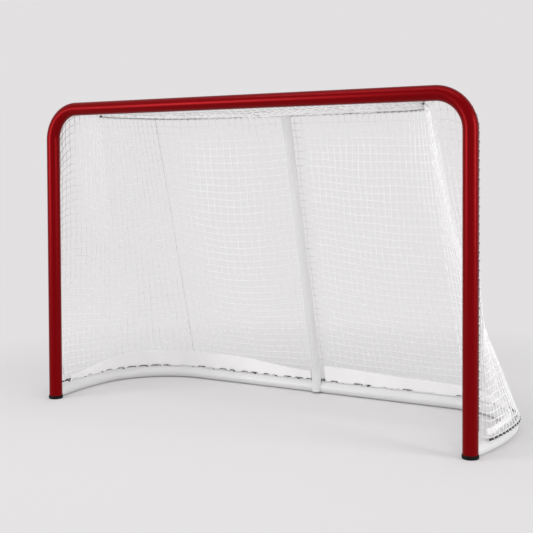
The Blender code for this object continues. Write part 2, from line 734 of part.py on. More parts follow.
def build_net(goal):
    """Four net panels and the cords that lace them to the rods."""
    end_base, end_top, end_bar = BASE_ROD_LINE.length, TOP_ROD_LINE.length, CROSSBAR_ROD_LINE.length
    side_low, side_high, post_edge = side_base_edge(), side_top_edge(), side_post_edge()
    side_seam = seam_edge(side_low(1), side_high(1))
    back_low = laid(BASE_ROD_LINE, SEAM_BASE + SEAM_GAP, end_base - SEAM_BASE - SEAM_GAP, leave_up)
    back_high = laid(TOP_ROD_LINE, SEAM_TOP + SEAM_GAP, end_top - SEAM_TOP - SEAM_GAP, leave_down)
    back_left, back_right = seam_edge(back_low(0), back_high(0)), seam_edge(back_low(1), back_high(1))
    roof_front = laid(CROSSBAR_ROD_LINE, CROSSBAR_ROD_START, end_bar - CROSSBAR_ROD_START, leave_rear)
    roof_rear = laid(TOP_ROD_LINE, SEAM_TOP, end_top - SEAM_TOP, leave_inward)
    roof_side = laid(TOP_ROD_LINE, TOP_ROD_SETBACK, SEAM_TOP, leave_inward)
    roof_left = joined(lambda share: roof_front(0), 0, roof_side, TOP_ROD_GAPS)

    def side_sag(u, v):
        return Vector((1, -0.3, 0)) * SIDE_SAG * math.sin(math.pi * v) * math.sin(math.pi * u)

    def side_sag_right(u, v):
        return side_sag(u, v) * Vector((-1, 1, 1))

    def back_sag(u, v):
        from_post = max(0.0, abs(2 * u - 1) - 1 / BACK_GAPS) / (1 - 1 / BACK_GAPS)
        return -BACK * BACK_SAG * math.sin(math.pi * v) * math.sin(math.pi * from_post)

    def roof_sag(u, v):
        return -UP * ROOF_SAG * math.sin(math.pi * u) * math.sin(math.pi * v)

    panel("net_side_left", side_low, side_high, post_edge, side_seam, SIDE_GAPS, ROWS, side_sag, goal)
    panel("net_side_right", mirrored(side_low), mirrored(side_high), mirrored(post_edge), mirrored(side_seam),
          SIDE_GAPS, ROWS, side_sag_right, goal)
    panel("net_back", back_low, back_high, back_left, back_right, BACK_GAPS, ROWS, back_sag, goal)
    panel("net_roof", roof_front, roof_rear, roof_left, mirrored(roof_left), BACK_GAPS, ROOF_ROWS, roof_sag,
          goal, (False, True, True))
    build_lacing(goal, side_low, side_high, post_edge, back_low, back_high, roof_front, roof_rear, roof_left)


def build_lacing(goal, side_low, side_high, post_edge, back_low, back_high, roof_front, roof_rear, roof_left):
    """One cord for each rod, which takes in every net edge beside it."""
    side_low, side_high = as_twine(side_low, SIDE_GAPS, True), as_twine(side_high, SIDE_GAPS, True)
    back_low, back_high = as_twine(back_low, BACK_GAPS, True), as_twine(back_high, BACK_GAPS, True)
    roof_left, roof_rear = as_twine(roof_left, ROOF_ROWS, True), as_twine(roof_rear, BACK_GAPS, True)
    post_edge = as_twine(post_edge, ROWS, False)

    def along_post(gap):
        return post_edge((gap + 1) / ROWS) if gap <= ROWS - 1 else side_high((gap - ROWS + 1) / SIDE_GAPS)

    def side_tube(share):
        return side_high((BEND_GAPS + CROSSING_GAPS + share * TOP_ROD_GAPS) / SIDE_GAPS)

    def roof_tube(share):
        return roof_left((CROSSING_GAPS + share * TOP_ROD_GAPS) / ROOF_ROWS)

    def all_round(side, missing, gaps, rear):
        """Left side, rear and right side as one edge, counted in gaps; the first few gaps may be missing."""
        def find(gap):
            if gap < gaps - missing:
                return side((gap + missing) / gaps)
            if gap <= gaps - missing + BACK_GAPS:
                return rear((gap - gaps + missing) / BACK_GAPS)
            return mirrored(side)((2 * gaps - missing + BACK_GAPS - gap) / gaps)
        return find

    right_marks = [POST_ROD_LINE.length - mark for mark in post_marks()]
    under_tube = all_round(side_tube, 0, TOP_ROD_GAPS, back_high)
    roof_edge = all_round(roof_tube, 0, TOP_ROD_GAPS, roof_rear)
    lacing("lacing_post_left", POST_ROD_LINE, post_marks(), [along_post], goal)
    lacing("lacing_post_right", POST_ROD_LINE, right_marks, [mirrored(along_post)], goal)
    lacing("lacing_crossbar", CROSSBAR_ROD_LINE, crossbar_marks(), [lambda gap: roof_front(gap / BACK_GAPS)], goal)
    lacing("lacing_top", TOP_ROD_LINE, top_marks(), [under_tube, roof_edge], goal)
    lacing("lacing_base", BASE_ROD_LINE, base_marks(), [all_round(side_low, 1, SIDE_GAPS, back_low)], goal)


def build_skirts(goal):
    """The skirt's two halves, either side of the centre post."""
    middle = BASE_LINE.length / 2
    skirt("skirt_left", SKIRT_END_SETBACK, middle - SKIRT_CENTRE_GAP, SKIRT_LEFT_HEIGHTS, goal)
    skirt("skirt_right", middle + SKIRT_CENTRE_GAP, BASE_LINE.length - SKIRT_END_SETBACK, SKIRT_RIGHT_HEIGHTS, goal)


build()
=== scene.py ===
"""Looks of an ice hockey goal: painted tubes, lacing rods, a fine laced net and a cloth skirt, in a studio.

Metres, +Z up. The mouth faces -Y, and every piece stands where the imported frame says.
"""

import logging
import math
from dataclasses import dataclass, field
from enum import Enum
from functools import partial
from typing import Callable, Iterable, Optional, Sequence

import bmesh
import bpy
from mathutils import Matrix, Vector, noise

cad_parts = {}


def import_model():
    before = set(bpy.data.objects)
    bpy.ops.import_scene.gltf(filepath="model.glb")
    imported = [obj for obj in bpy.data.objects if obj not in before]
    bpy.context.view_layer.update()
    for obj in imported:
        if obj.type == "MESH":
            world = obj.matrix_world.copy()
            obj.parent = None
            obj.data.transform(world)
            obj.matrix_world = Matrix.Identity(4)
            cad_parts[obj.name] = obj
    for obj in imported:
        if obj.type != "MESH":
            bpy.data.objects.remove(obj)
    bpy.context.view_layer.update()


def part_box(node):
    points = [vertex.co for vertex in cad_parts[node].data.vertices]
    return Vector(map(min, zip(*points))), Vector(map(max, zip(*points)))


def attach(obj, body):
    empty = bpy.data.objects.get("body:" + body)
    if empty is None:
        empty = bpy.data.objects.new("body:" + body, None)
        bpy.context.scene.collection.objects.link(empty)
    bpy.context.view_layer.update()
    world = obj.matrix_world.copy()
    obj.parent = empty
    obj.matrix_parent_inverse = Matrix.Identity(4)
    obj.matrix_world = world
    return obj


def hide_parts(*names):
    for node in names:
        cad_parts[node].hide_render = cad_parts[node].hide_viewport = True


log = logging.getLogger("goal")

ROOT = "root"
ACROSS = Vector((1, 0, 0))
BACK = Vector((0, 1, 0))
UP = Vector((0, 0, 1))
SAME_PLACE = 1e-6
SHORTEST_RUN = 4
TUBE_CREASE = 35.0
CORD_CREASE = 70.0

Edge = Callable[[float], Vector]
Triple = tuple[float, float, float]
Socket = bpy.types.NodeSocket


class Side(Enum):
    """The two sides of the goal, as seen from in front of its mouth."""

    LEFT = -1
    RIGHT = 1

    @property
    def word(self) -> str:
        """Lower-case name for a piece."""
        return self.name.lower()

    def place(self, point: Vector) -> Vector:
        """A left-hand point or direction on this side."""
        return point * Vector((-self.value, 1, 1))

    def edge(self, left: Edge, share: float) -> Vector:
        """A left-hand edge read on this side."""
        return self.place(left(share))


class Slot(Enum):
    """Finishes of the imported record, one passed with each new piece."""

    RED = "red_paint"
    WHITE = "white_paint"
    ROD = "rod_steel"
    RUBBER = "cap_rubber"
    TWINE = "net_twine"
    CORD = "lacing_cord"
    CLOTH = "skirt_fabric"


# Lines that tubes, rods and net edges follow


@dataclass
class Route:
    """A line through space with two section axes, read by the distance along it."""

    points: list[Vector]
    sides: list[Vector]
    rise: Vector
    marks: list[float] = field(default_factory=list)

    def __post_init__(self) -> None:
        """Measures the line."""
        self.marks = [0.0]
        for near, far in zip(self.points, self.points[1:]):
            self.marks.append(self.marks[-1] + (far - near).length)

    @property
    def length(self) -> float:
        """Length of the whole line."""
        return self.marks[-1]

    def read(self, values: Sequence[Vector], distance: float) -> Vector:
        """Value at a distance.

        Args:
            values: One vector for each point of the line.
            distance: Distance along the line, held to its ends.

        Returns:
            The value, straight between the two points round it.
        """
        distance = min(max(distance, 0.0), self.length)
        low, high = 0, len(self.marks) - 1
        while high - low > 1:
            middle = (low + high) // 2
            low, high = (middle, high) if self.marks[middle] <= distance else (low, middle)
        share = (distance - self.marks[low]) / (self.marks[high] - self.marks[low])
        return values[low].lerp(values[high], share)

    def at(self, distance: float) -> Vector:
        """Point at a distance."""
        return self.read(self.points, distance)

    def side_at(self, distance: float) -> Vector:
        """Outward section axis at a distance."""
        return self.read(self.sides, distance).normalized()

    def shifted(self, reach: float, angle: float) -> "Route":
        """The same line moved across its section.

        Args:
            reach: How far it moves.
            angle: Direction in the section, from the outward axis towards the rise.

        Returns:
            The moved line.
        """
        out, rise = reach * math.cos(angle), reach * math.sin(angle)
        moved = [p + s * out + self.rise * rise for p, s in zip(self.points, self.sides)]
        return Route(moved, self.sides, self.rise)

    def inset(self, free: float) -> tuple[float, float]:
        """Start and end of the stretch that leaves the same length free at both ends."""
        return free, self.length - free

    def part(self, start: float, end: float) -> "Route":
        """The stretch between two distances.

        Args:
            start: Distance at which it starts.
            end: Distance at which it ends.

        Returns:
            The stretch, with the line's own points between its ends.
        """
        inner = [k for k, mark in enumerate(self.marks) if start + SAME_PLACE < mark < end - SAME_PLACE]
        points = [self.at(start)] + [self.points[k] for k in inner] + [self.at(end)]
        sides = [self.side_at(start)] + [self.sides[k] for k in inner] + [self.side_at(end)]
        return Route(points, sides, self.rise)

    def where_across(self, x: float) -> float:
        """Finds where the line passes an X.

        Args:
            x: The X, on the goal's right half.

        Returns:
            Distance of that place from the right end.
        """
        for k in range(len(self.points) - 1, 0, -1):
            far, near = self.points[k].x, self.points[k - 1].x
            if near <= x <= far:
                share = (x - near) / (far - near)
                return self.length - self.marks[k - 1] - share * (self.marks[k] - self.marks[k - 1])
        raise ValueError("the line never passes that place")


def arch(share: float) -> float:
    """Height of a smooth arch, 0 at both ends and 1 in its middle."""
    return math.sin(math.pi * share)


def arc_angles(start: float, end: float, step: float) -> list[float]:
    """Angles along an arc, at most a step apart, with both ends."""
    count = max(2, math.ceil(abs(end - start) / step))
    return [start + (end - start) * k / count for k in range(count + 1)]


@dataclass(frozen=True)
class PlanBend:
    """A D-shaped tube in plan: a long side arc, a corner arc and a straight rear."""

    start_x: float
    depth: float
    flare: float
    side_end: float
    corner_radius: float
    diameter: float
    wall: float

    @property
    def radius(self) -> float:
        """Outer radius of the tube."""
        return self.diameter / 2

    def route(self, front_y: float, height: float, step: float) -> Route:
        """The tube's centre line.

        Args:
            front_y: Y of the mouth's plane, where both ends are.
            height: Height of the line.
            step: Largest angle between two points of an arc.

        Returns:
            The line, from left to right.
        """
        flare, side_end = math.radians(self.flare), math.radians(self.side_end)
        corner_depth = self.corner_radius * (1 + math.sin(side_end))
        side_radius = (self.depth - corner_depth) / (math.sin(flare) - math.sin(side_end))
        point, points, sides = Vector((self.start_x, 0, 0)), [], []
        arcs = ((side_radius, flare, side_end), (self.corner_radius, side_end, -math.pi / 2))
        for radius, start, end in arcs:
            centre = point - radius * Vector((math.cos(start), -math.sin(start), 0))
            for angle in arc_angles(start, end, step):
                outward = Vector((math.cos(angle), -math.sin(angle), 0))
                point = centre + radius * outward
                if not points or (point - points[-1]).length > SAME_PLACE:
                    points.append(point)
                    sides.append(outward)
        points.append(Vector((0, self.depth, 0)))
        sides.append(BACK.copy())
        flip, moved = Side.RIGHT.place, Vector((0, front_y, height))
        whole = [flip(p) + moved for p in points[:-1]] + [p + moved for p in points[::-1]]
        return Route(whole, [flip(s) for s in sides[:-1]] + sides[::-1], UP)


@dataclass
class Layout:
    """Sizes of the goal and the lines that its tubes, rods and net edges follow."""

    opening_width: float = 1.8288
    opening_height: float = 1.2192
    mouth_diameter: float = 0.055
    mouth_wall: float = 0.0035
    mouth_bend: float = 0.130
    foot: float = 0.0053
    base: PlanBend = PlanBend(0.9419, 0.655, 14.0, -4.0, 0.345, 0.0483, 0.003)
    top: PlanBend = PlanBend(0.738, 0.394, -9.5, -25.0, 0.210, 0.042, 0.0025)
    rod_diameter: float = 0.008
    rod_standoff: float = 0.010
    post_rod_angle: float = 72.0
    crossbar_rod_angle: float = 120.0
    top_rod_angle: float = -60.0
    base_rod_angle: float = 45.0
    post_rod_setback: float = 0.085
    post_rod_clearance: float = 0.025
    crossbar_rod_inset: float = 0.078
    top_rod_start: float = 0.070
    base_rod_start: float = 0.085
    seam_base_x: float = 0.680
    seam_top_x: float = 0.640
    arc_step: float = math.radians(3.0)
    front_y: float = 0.0

    def __post_init__(self) -> None:
        """Reads the mouth's plane from the frame and draws every line."""
        low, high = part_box("crossbar")
        self.front_y = (low.y + high.y) / 2
        self.mouth_radius = self.mouth_diameter / 2
        self.post_x = self.opening_width / 2 + self.mouth_radius
        self.crossbar_z = self.opening_height + self.mouth_radius
        self.mouth_line = self.mouth_route()
        self.base_line = self.base.route(self.front_y, self.base.radius, self.arc_step)
        self.top_line = self.top.route(self.front_y, self.crossbar_z, self.arc_step)
        self.post_rod = self.rod_line(self.mouth_line, self.mouth_radius, self.post_rod_angle)
        self.crossbar_rod = self.rod_line(self.mouth_line, self.mouth_radius, self.crossbar_rod_angle)
        self.base_rod = self.rod_line(self.base_line, self.base.radius, self.base_rod_angle)
        self.top_rod = self.rod_line(self.top_line, self.top.radius, self.top_rod_angle)
        self.rod_radius = self.rod_diameter / 2
        self.post_rod_start = self.post_rod_setback - self.foot
        self.bend_start = self.crossbar_z - self.mouth_bend - self.foot
        self.post_rod_end = self.post_rod.where_across(
            self.top.start_x + self.top.radius + self.post_rod_clearance)
        self.crossbar_rod_start = self.crossbar_rod.where_across(self.top.start_x - self.crossbar_rod_inset)
        self.seam_base = self.base_rod.where_across(self.seam_base_x)
        self.seam_top = self.top_rod.where_across(self.seam_top_x)

    def mouth_route(self) -> Route:
        """The mouth's line.

        Returns:
            The line from the left foot, over both bends, to the right foot.
        """
        points, sides = [Vector((-self.post_x, self.front_y, self.foot))], [-ACROSS]
        bend_x, bend_z = self.post_x - self.mouth_bend, self.crossbar_z - self.mouth_bend
        half = arc_angles(math.pi, math.pi / 2, self.arc_step)
        for angle in half + [math.pi - a for a in reversed(half)]:
            outward = Vector((math.cos(angle), 0, math.sin(angle)))
            on_right = len(points) > len(half)
            centre = Vector((bend_x if on_right else -bend_x, self.front_y, bend_z))
            points.append(centre + self.mouth_bend * outward)
            sides.append(outward)
        points.append(Vector((self.post_x, self.front_y, self.foot)))
        sides.append(ACROSS.copy())
        return Route(points, sides, BACK)

    def rod_line(self, line: Route, tube_radius: float, angle: float) -> Route:
        """Line of the lacing rod beside a tube, at an angle in degrees in the tube's section."""
        return line.shifted(tube_radius + self.rod_standoff + self.rod_diameter / 2, math.radians(angle))


# Mesh tools


def finished_mesh(bm: bmesh.types.BMesh, name: str, crease: float = TUBE_CREASE) -> bpy.types.Mesh:
    """Turns a bmesh into a smooth-shaded mesh.

    Args:
        bm: The bmesh, which is freed.
        name: Name of the mesh.
        crease: Angle in degrees past which an edge is sharp.

    Returns:
        The new mesh.
    """
    mesh = bpy.data.meshes.new(name)
    bm.to_mesh(mesh)
    bm.free()
    mesh.shade_smooth()
    mesh.set_sharp_from_angle(angle=math.radians(crease))
    return mesh


def place(name: str, mesh: bpy.types.Mesh, finish: bpy.types.Material, slot: Slot,
          stands_for: Iterable[str] = ()) -> bpy.types.Object:
    """Puts a piece in the scene.

    Args:
        name: Name of the piece.
        mesh: Its mesh, in place.
        finish: Its material.
        slot: Name of the record's finish for it; not used.
        stands_for: Nodes of the frame that it replaces.

    Returns:
        The piece, riding on the goal's body.
    """
    mesh.materials.clear()
    mesh.materials.append(finish)
    piece = bpy.data.objects.new(name, mesh)
    bpy.context.collection.objects.link(piece)
    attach(piece, ROOT)
    stands_for = list(stands_for)
    if stands_for:
        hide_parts(*stands_for)
    log.info("%s: %d faces", name, len(mesh.polygons))
    return piece


def linked_edges(verts: Iterable[bmesh.types.BMVert]) -> list[bmesh.types.BMEdge]:
    """Edges that end at some vertices, each once and in the same order on every run."""
    return list(dict.fromkeys(edge for vert in verts for edge in vert.link_edges))


def section_frame(point: Vector, heading: Vector, rise: Vector) -> Matrix:
    """Axes of a section through a line.

    Args:
        point: Middle of the section.
        heading: Direction of the line, which the section's Z takes.
        rise: Direction that its Y lies near.

    Returns:
        The section's own axes and place.
    """
    along = heading.normalized()
    across = rise.cross(along).normalized()
    return Matrix.Translation(point) @ Matrix((across, along.cross(across), along)).transposed().to_4x4()


def swept_tube(name: str, line: Route, radius: float, sides: int,
               wall: Optional[float] = None) -> bpy.types.Mesh:
    """A round tube along a line, drawn out ring by ring from a circle.

    Args:
        name: Name of the mesh.
        line: The centre line.
        radius: Outer radius.
        sides: Faces round the section.
        wall: Wall thickness of an open tube, or None for a solid bar with closed ends.

    Returns:
        The mesh, with its faces outwards.
    """
    points = line.points
    headings = []
    for k in range(len(points)):
        near, far = points[max(k - 1, 0)], points[min(k + 1, len(points) - 1)]
        if 0 < k < len(points) - 1:
            headings.append((points[k] - near).normalized() + (far - points[k]).normalized())
        else:
            headings.append(far - near)
    frames = [section_frame(p, h, line.rise) for p, h in zip(points, headings)]
    bm = bmesh.new()
    ring = bmesh.ops.create_circle(bm, cap_ends=False, segments=sides, radius=radius)["verts"]
    bmesh.ops.transform(bm, matrix=frames[0], verts=ring)
    first = loop = linked_edges(ring)
    for near, far in zip(frames, frames[1:]):
        drawn = bmesh.ops.extrude_edge_only(bm, edges=loop)["geom"]
        verts = [part for part in drawn if isinstance(part, bmesh.types.BMVert)]
        kept = set(verts)
        bmesh.ops.transform(bm, matrix=far @ near.inverted(), verts=verts)
        loop = [part for part in drawn if isinstance(part, bmesh.types.BMEdge) and set(part.verts) <= kept]
    if wall is None:
        bmesh.ops.edgeloop_fill(bm, edges=first)
        bmesh.ops.edgeloop_fill(bm, edges=loop)
    bmesh.ops.recalc_face_normals(bm, faces=bm.faces)
    if wall is not None:
        if bm.faces[0].normal.dot(bm.faces[0].calc_center_median() - points[0]) < 0:
            bmesh.ops.reverse_faces(bm, faces=bm.faces)
        bmesh.ops.solidify(bm, geom=bm.faces[:], thickness=wall)
    return finished_mesh(bm, name)


def swept_cords(name: str, runs: Sequence[Sequence[Vector]], diameter: float, sides: int,
                swell: Optional[Callable[[int], float]] = None, closed: bool = False) -> bpy.types.Mesh:
    """Round cords along many runs of points, made as one curve and turned into a mesh.

    Args:
        name: Name of the mesh.
        runs: Points of each cord.
        diameter: Cord diameter.
        sides: Faces round the section, at least 4 and even.
        swell: Share of the diameter at a point, by its number.
        closed: Whether each run ends where it starts.

    Returns:
        The mesh.
    """
    curve = bpy.data.curves.new(name, "CURVE")
    curve.dimensions = "3D"
    curve.bevel_depth = diameter / 2
    curve.bevel_resolution = (sides - 4) // 2
    curve.use_fill_caps = not closed
    for run in runs:
        spline = curve.splines.new("POLY")
        spline.points.add(len(run) - 1)
        spline.use_cyclic_u = closed
        for number, (spot, point) in enumerate(zip(spline.points, run)):
            spot.co = (*point, 1)
            if swell:
                spot.radius = swell(number)
    holder = bpy.data.objects.new(name, curve)
    bpy.context.collection.objects.link(holder)
    mesh = bpy.data.meshes.new_from_object(holder)
    mesh.name = name
    bpy.data.objects.remove(holder)
    bpy.data.curves.remove(curve)
    mesh.shade_smooth()
    mesh.set_sharp_from_angle(angle=math.radians(CORD_CREASE))
    return mesh


# Finishes


@dataclass
class Wiring:
    """Adds, sets and joins nodes in one tree."""

    tree: bpy.types.NodeTree

    def add(self, kind: str, inputs: Optional[dict] = None, **values: object) -> bpy.types.Node:
        """Adds a node.

        Args:
            kind: Type of the node.
            inputs: What goes into it, as fill() takes it.
            values: Its properties, which are set first.

        Returns:
            The node.
        """
        node = self.tree.nodes.new("ShaderNode" + kind)
        for word, value in values.items():
            setattr(node, word, value)
        self.fill(node, inputs or {})
        return node

    def fill(self, node: bpy.types.Node, inputs: dict) -> None:
        """Sets what goes into a node.

        Args:
            node: The node.
            inputs: A number, a colour or a socket to link, under the name or the place of each input.
        """
        for word, value in inputs.items():
            if isinstance(value, Socket):
                self.tree.links.new(value, node.inputs[word])
            else:
                node.inputs[word].default_value = value

    def math(self, operation: str, *values: object) -> Socket:
        """A Math node on sockets or numbers."""
        return self.add("Math", dict(enumerate(values)), operation=operation).outputs[0]

    def ramp(self, value: Socket, low: float, high: float) -> Socket:
        """A number stretched from between two limits to 0 and 1."""
        node = self.add("MapRange", {"Value": value, "From Min": low, "From Max": high}, clamp=True)
        return node.outputs["Result"]

    def noise(self, spot: Socket, scale: object, detail: float) -> Socket:
        """A Noise texture on coordinates."""
        return self.add("TexNoise", {"Vector": spot, "Scale": scale, "Detail": detail}).outputs["Fac"]

    def waves(self, spot: Socket, direction: str, scale: object, distortion: float) -> Socket:
        """A Wave texture of bands across one axis of the coordinates."""
        inputs = {"Vector": spot, "Scale": scale, "Distortion": distortion}
        return self.add("TexWave", inputs, wave_type="BANDS", bands_direction=direction).outputs["Fac"]

    def mix(self, mask: Socket, first: object, second: object) -> Socket:
        """Two colours mixed by a mask.

        Args:
            mask: 0 for the first colour and 1 for the second.
            first: A colour, or a socket that gives one.
            second: Another.

        Returns:
            The mixed colour.
        """
        ends = [end if isinstance(end, Socket) else (*end, 1) for end in (first, second)]
        return self.add("Mix", {0: mask, 6: ends[0], 7: ends[1]}, data_type="RGBA").outputs[2]

    def shade_in_hollows(self, height: Socket, amount: float) -> Socket:
        """What a height from 0 to 1 leaves open, times an amount, as a mask of painted shade in the hollows.
        """
        return self.math("MULTIPLY", self.math("SUBTRACT", 1.0, height), amount)

    def bump(self, height: Socket, distance: float, strength: float,
             before: Optional[Socket] = None) -> Socket:
        """A Bump node on a height.

        Args:
            height: The height, from 0 to 1.
            distance: Real height of a step from 0 to 1.
            strength: Share of the bump that shows.
            before: An earlier normal that it adds to.

        Returns:
            The new normal.
        """
        inputs = {"Height": height, "Distance": distance, "Strength": strength}
        if before is not None:
            inputs["Normal"] = before
        return self.add("Bump", inputs).outputs["Normal"]

    def shared(self, group: bpy.types.NodeTree, **values: float) -> bpy.types.NodeOutputs:
        """Outputs of a shared group, placed with values for the inputs that are named."""
        inputs = {word.replace("_", " ").title(): value for word, value in values.items()}
        return self.add("Group", inputs, node_tree=group).outputs


def new_group(name: str, inputs: dict[str, float], outputs: Sequence[str]) -> Wiring:
    """An empty shader node group.

    Args:
        name: Name of the group.
        inputs: Default value of each number that goes in.
        outputs: Name of each number that comes out.

    Returns:
        The group's wiring, with its two end nodes named "in" and "out".
    """
    group = bpy.data.node_groups.new(name, "ShaderNodeTree")
    for word, value in inputs.items():
        socket = group.interface.new_socket(name=word, in_out="INPUT", socket_type="NodeSocketFloat")
        socket.default_value = value
    for word in outputs:
        group.interface.new_socket(name=word, in_out="OUTPUT", socket_type="NodeSocketFloat")
    group.nodes.new("NodeGroupInput").name = "in"
    group.nodes.new("NodeGroupOutput").name = "out"
    return Wiring(group)


def paint_group() -> bpy.types.NodeTree:
    """Sprayed paint.

    Returns:
        A group that gives orange peel, a faint change of shade, and scuffs that stand in patches.
    """
    inputs = {"Peel Scale": 260.0, "Shade Scale": 3.0, "Scuff Amount": 0.3}
    streak_stretch, streak_scale, streak_limits = (1.0, 1.0, 0.35), 190.0, (0.56, 0.70)
    patch_scale, patch_limits = 6.0, (0.48, 0.66)
    wires = new_group("sprayed_paint", inputs, ["Peel", "Shade", "Scuff"])
    given = wires.tree.nodes["in"].outputs
    spot = wires.add("TexCoord").outputs["Object"]
    streaks = wires.add("Mapping", {"Vector": spot, "Scale": streak_stretch}).outputs["Vector"]
    fine = wires.ramp(wires.noise(streaks, streak_scale, 4.0), *streak_limits)
    patch = wires.ramp(wires.noise(spot, patch_scale, 2.0), *patch_limits)
    wires.fill(wires.tree.nodes["out"], {
        "Peel": wires.noise(spot, given["Peel Scale"], 1.0),
        "Shade": wires.noise(spot, given["Shade Scale"], 3.0),
        "Scuff": wires.math("MULTIPLY", wires.math("MULTIPLY", fine, patch), given["Scuff Amount"]),
    })
    return wires.tree


def fibre_group() -> bpy.types.NodeTree:
    """Spun fibre.

    Returns:
        A group that gives strands on the slant both ways, loose fuzz, and soiling in patches.
    """
    inputs = {"Strand Scale": 900.0, "Soil Amount": 0.2}
    slants, waver, fuzz_scale = (45.0, -45.0), 1.5, 2400.0
    patch_scale, patch_limits = 4.5, (0.45, 0.75)
    wires = new_group("spun_fibre", inputs, ["Strands", "Fuzz", "Soil"])
    given = wires.tree.nodes["in"].outputs
    spot = wires.add("TexCoord").outputs["Object"]
    heights = []
    for turn in map(math.radians, slants):
        slant = wires.add("Mapping", {"Vector": spot, "Rotation": (turn, turn, turn / 3)}).outputs["Vector"]
        heights.append(wires.waves(slant, "X", given["Strand Scale"], waver))
    patch = wires.ramp(wires.noise(spot, patch_scale, 3.0), *patch_limits)
    wires.fill(wires.tree.nodes["out"], {
        "Strands": wires.math("MAXIMUM", *heights),
        "Fuzz": wires.noise(spot, fuzz_scale, 3.0),
        "Soil": wires.math("MULTIPLY", patch, given["Soil Amount"]),
    })
    return wires.tree


def started(name: str) -> tuple[bpy.types.Material, Wiring, bpy.types.Node]:
    """Starts a material.

    Args:
        name: Name of the material.

    Returns:
        The material, its wiring and its Principled shader.
    """
    made = bpy.data.materials.new(name)
    made.use_nodes = True
    return made, Wiring(made.node_tree), made.node_tree.nodes["Principled BSDF"]


@dataclass(frozen=True)
class SprayedPaint:
    """Paint sprayed on steel tube."""

    name: str
    colour: Triple
    shade: Triple
    scuff: Triple
    roughness: float
    coat: float = 0.0
    coat_roughness: float = 0.1
    specular: float = 0.5
    metallic: float = 0.0
    scuff_amount: float = 0.25
    scuff_roughness: float = 0.35
    peel: float = 0.00005
    peel_strength: float = 0.35

    def material(self, group: bpy.types.NodeTree) -> bpy.types.Material:
        """Mixes the paint.

        Args:
            group: The shared group of sprayed paint.

        Returns:
            The paint's material.
        """
        made, wires, shader = started(self.name)
        paint = wires.shared(group, scuff_amount=self.scuff_amount)
        base = wires.mix(paint["Shade"], self.colour, self.shade)
        wires.fill(shader, {
            "Base Color": wires.mix(paint["Scuff"], base, self.scuff),
            "Roughness": wires.math("MULTIPLY_ADD", paint["Scuff"], self.scuff_roughness, self.roughness),
            "Normal": wires.bump(paint["Peel"], self.peel, self.peel_strength),
            "Coat Weight": self.coat,
            "Coat Roughness": self.coat_roughness,
            "Specular IOR Level": self.specular,
            "Metallic": self.metallic,
        })
        return made


@dataclass(frozen=True)
class MouldedRubber:
    """Black moulded rubber with a fine grain and dusty scuffs."""

    name: str = "black_rubber"
    colour: Triple = (0.004, 0.004, 0.004)
    dust: Triple = (0.10, 0.097, 0.094)
    dust_amount: float = 0.15
    grain_scale: float = 900.0
    grain: float = 0.0003
    grain_strength: float = 0.4
    roughness: float = 0.42
    uneven_roughness: float = 0.2
    specular: float = 0.12

    def material(self, group: bpy.types.NodeTree) -> bpy.types.Material:
        """Mixes the rubber.

        Args:
            group: The shared group of sprayed paint, whose peel serves as the grain.

        Returns:
            The rubber's material.
        """
        made, wires, shader = started(self.name)
        grain = wires.shared(group, peel_scale=self.grain_scale, scuff_amount=self.dust_amount)
        wires.fill(shader, {
            "Base Color": wires.mix(grain["Scuff"], self.colour, self.dust),
            "Roughness": wires.math("MULTIPLY_ADD", grain["Shade"], self.uneven_roughness, self.roughness),
            "Normal": wires.bump(grain["Peel"], self.grain, self.grain_strength),
            "Specular IOR Level": self.specular,
        })
        return made


@dataclass(frozen=True)
class SpunCord:
    """White braided twine or cord, with soil in patches and painted shade in the hollows between its strands.
    """

    name: str
    colour: Triple
    # colour of real soil, which the painted shade in the hollows also darkens towards
    soil: Triple
    strand_scale: float
    soil_amount: float
    # share of painted shade in the hollows between strands
    hollow_soil: float = 0.25
    strand_height: float = 0.0004
    strand_strength: float = 0.5
    fuzz_height: float = 0.0001
    fuzz_strength: float = 0.4
    roughness: float = 0.82
    sheen: float = 0.15
    sheen_roughness: float = 0.5

    def material(self, group: bpy.types.NodeTree) -> bpy.types.Material:
        """Spins the twine.

        Args:
            group: The shared group of spun fibre.

        Returns:
            The twine's material.
        """
        made, wires, shader = started(self.name)
        fibre = wires.shared(group, strand_scale=self.strand_scale, soil_amount=self.soil_amount)
        base = wires.mix(fibre["Soil"], self.colour, self.soil)
        # Painted shade: the colour darkens towards the soil colour where the strands leave hollows.
        strand_shade = wires.shade_in_hollows(fibre["Strands"], self.hollow_soil)
        strands = wires.bump(fibre["Strands"], self.strand_height, self.strand_strength)
        wires.fill(shader, {
            "Base Color": wires.mix(strand_shade, base, self.soil),
            "Normal": wires.bump(fibre["Fuzz"], self.fuzz_height, self.fuzz_strength, strands),
            "Roughness": self.roughness,
            "Sheen Weight": self.sheen,
            "Sheen Roughness": self.sheen_roughness,
        })
        return made


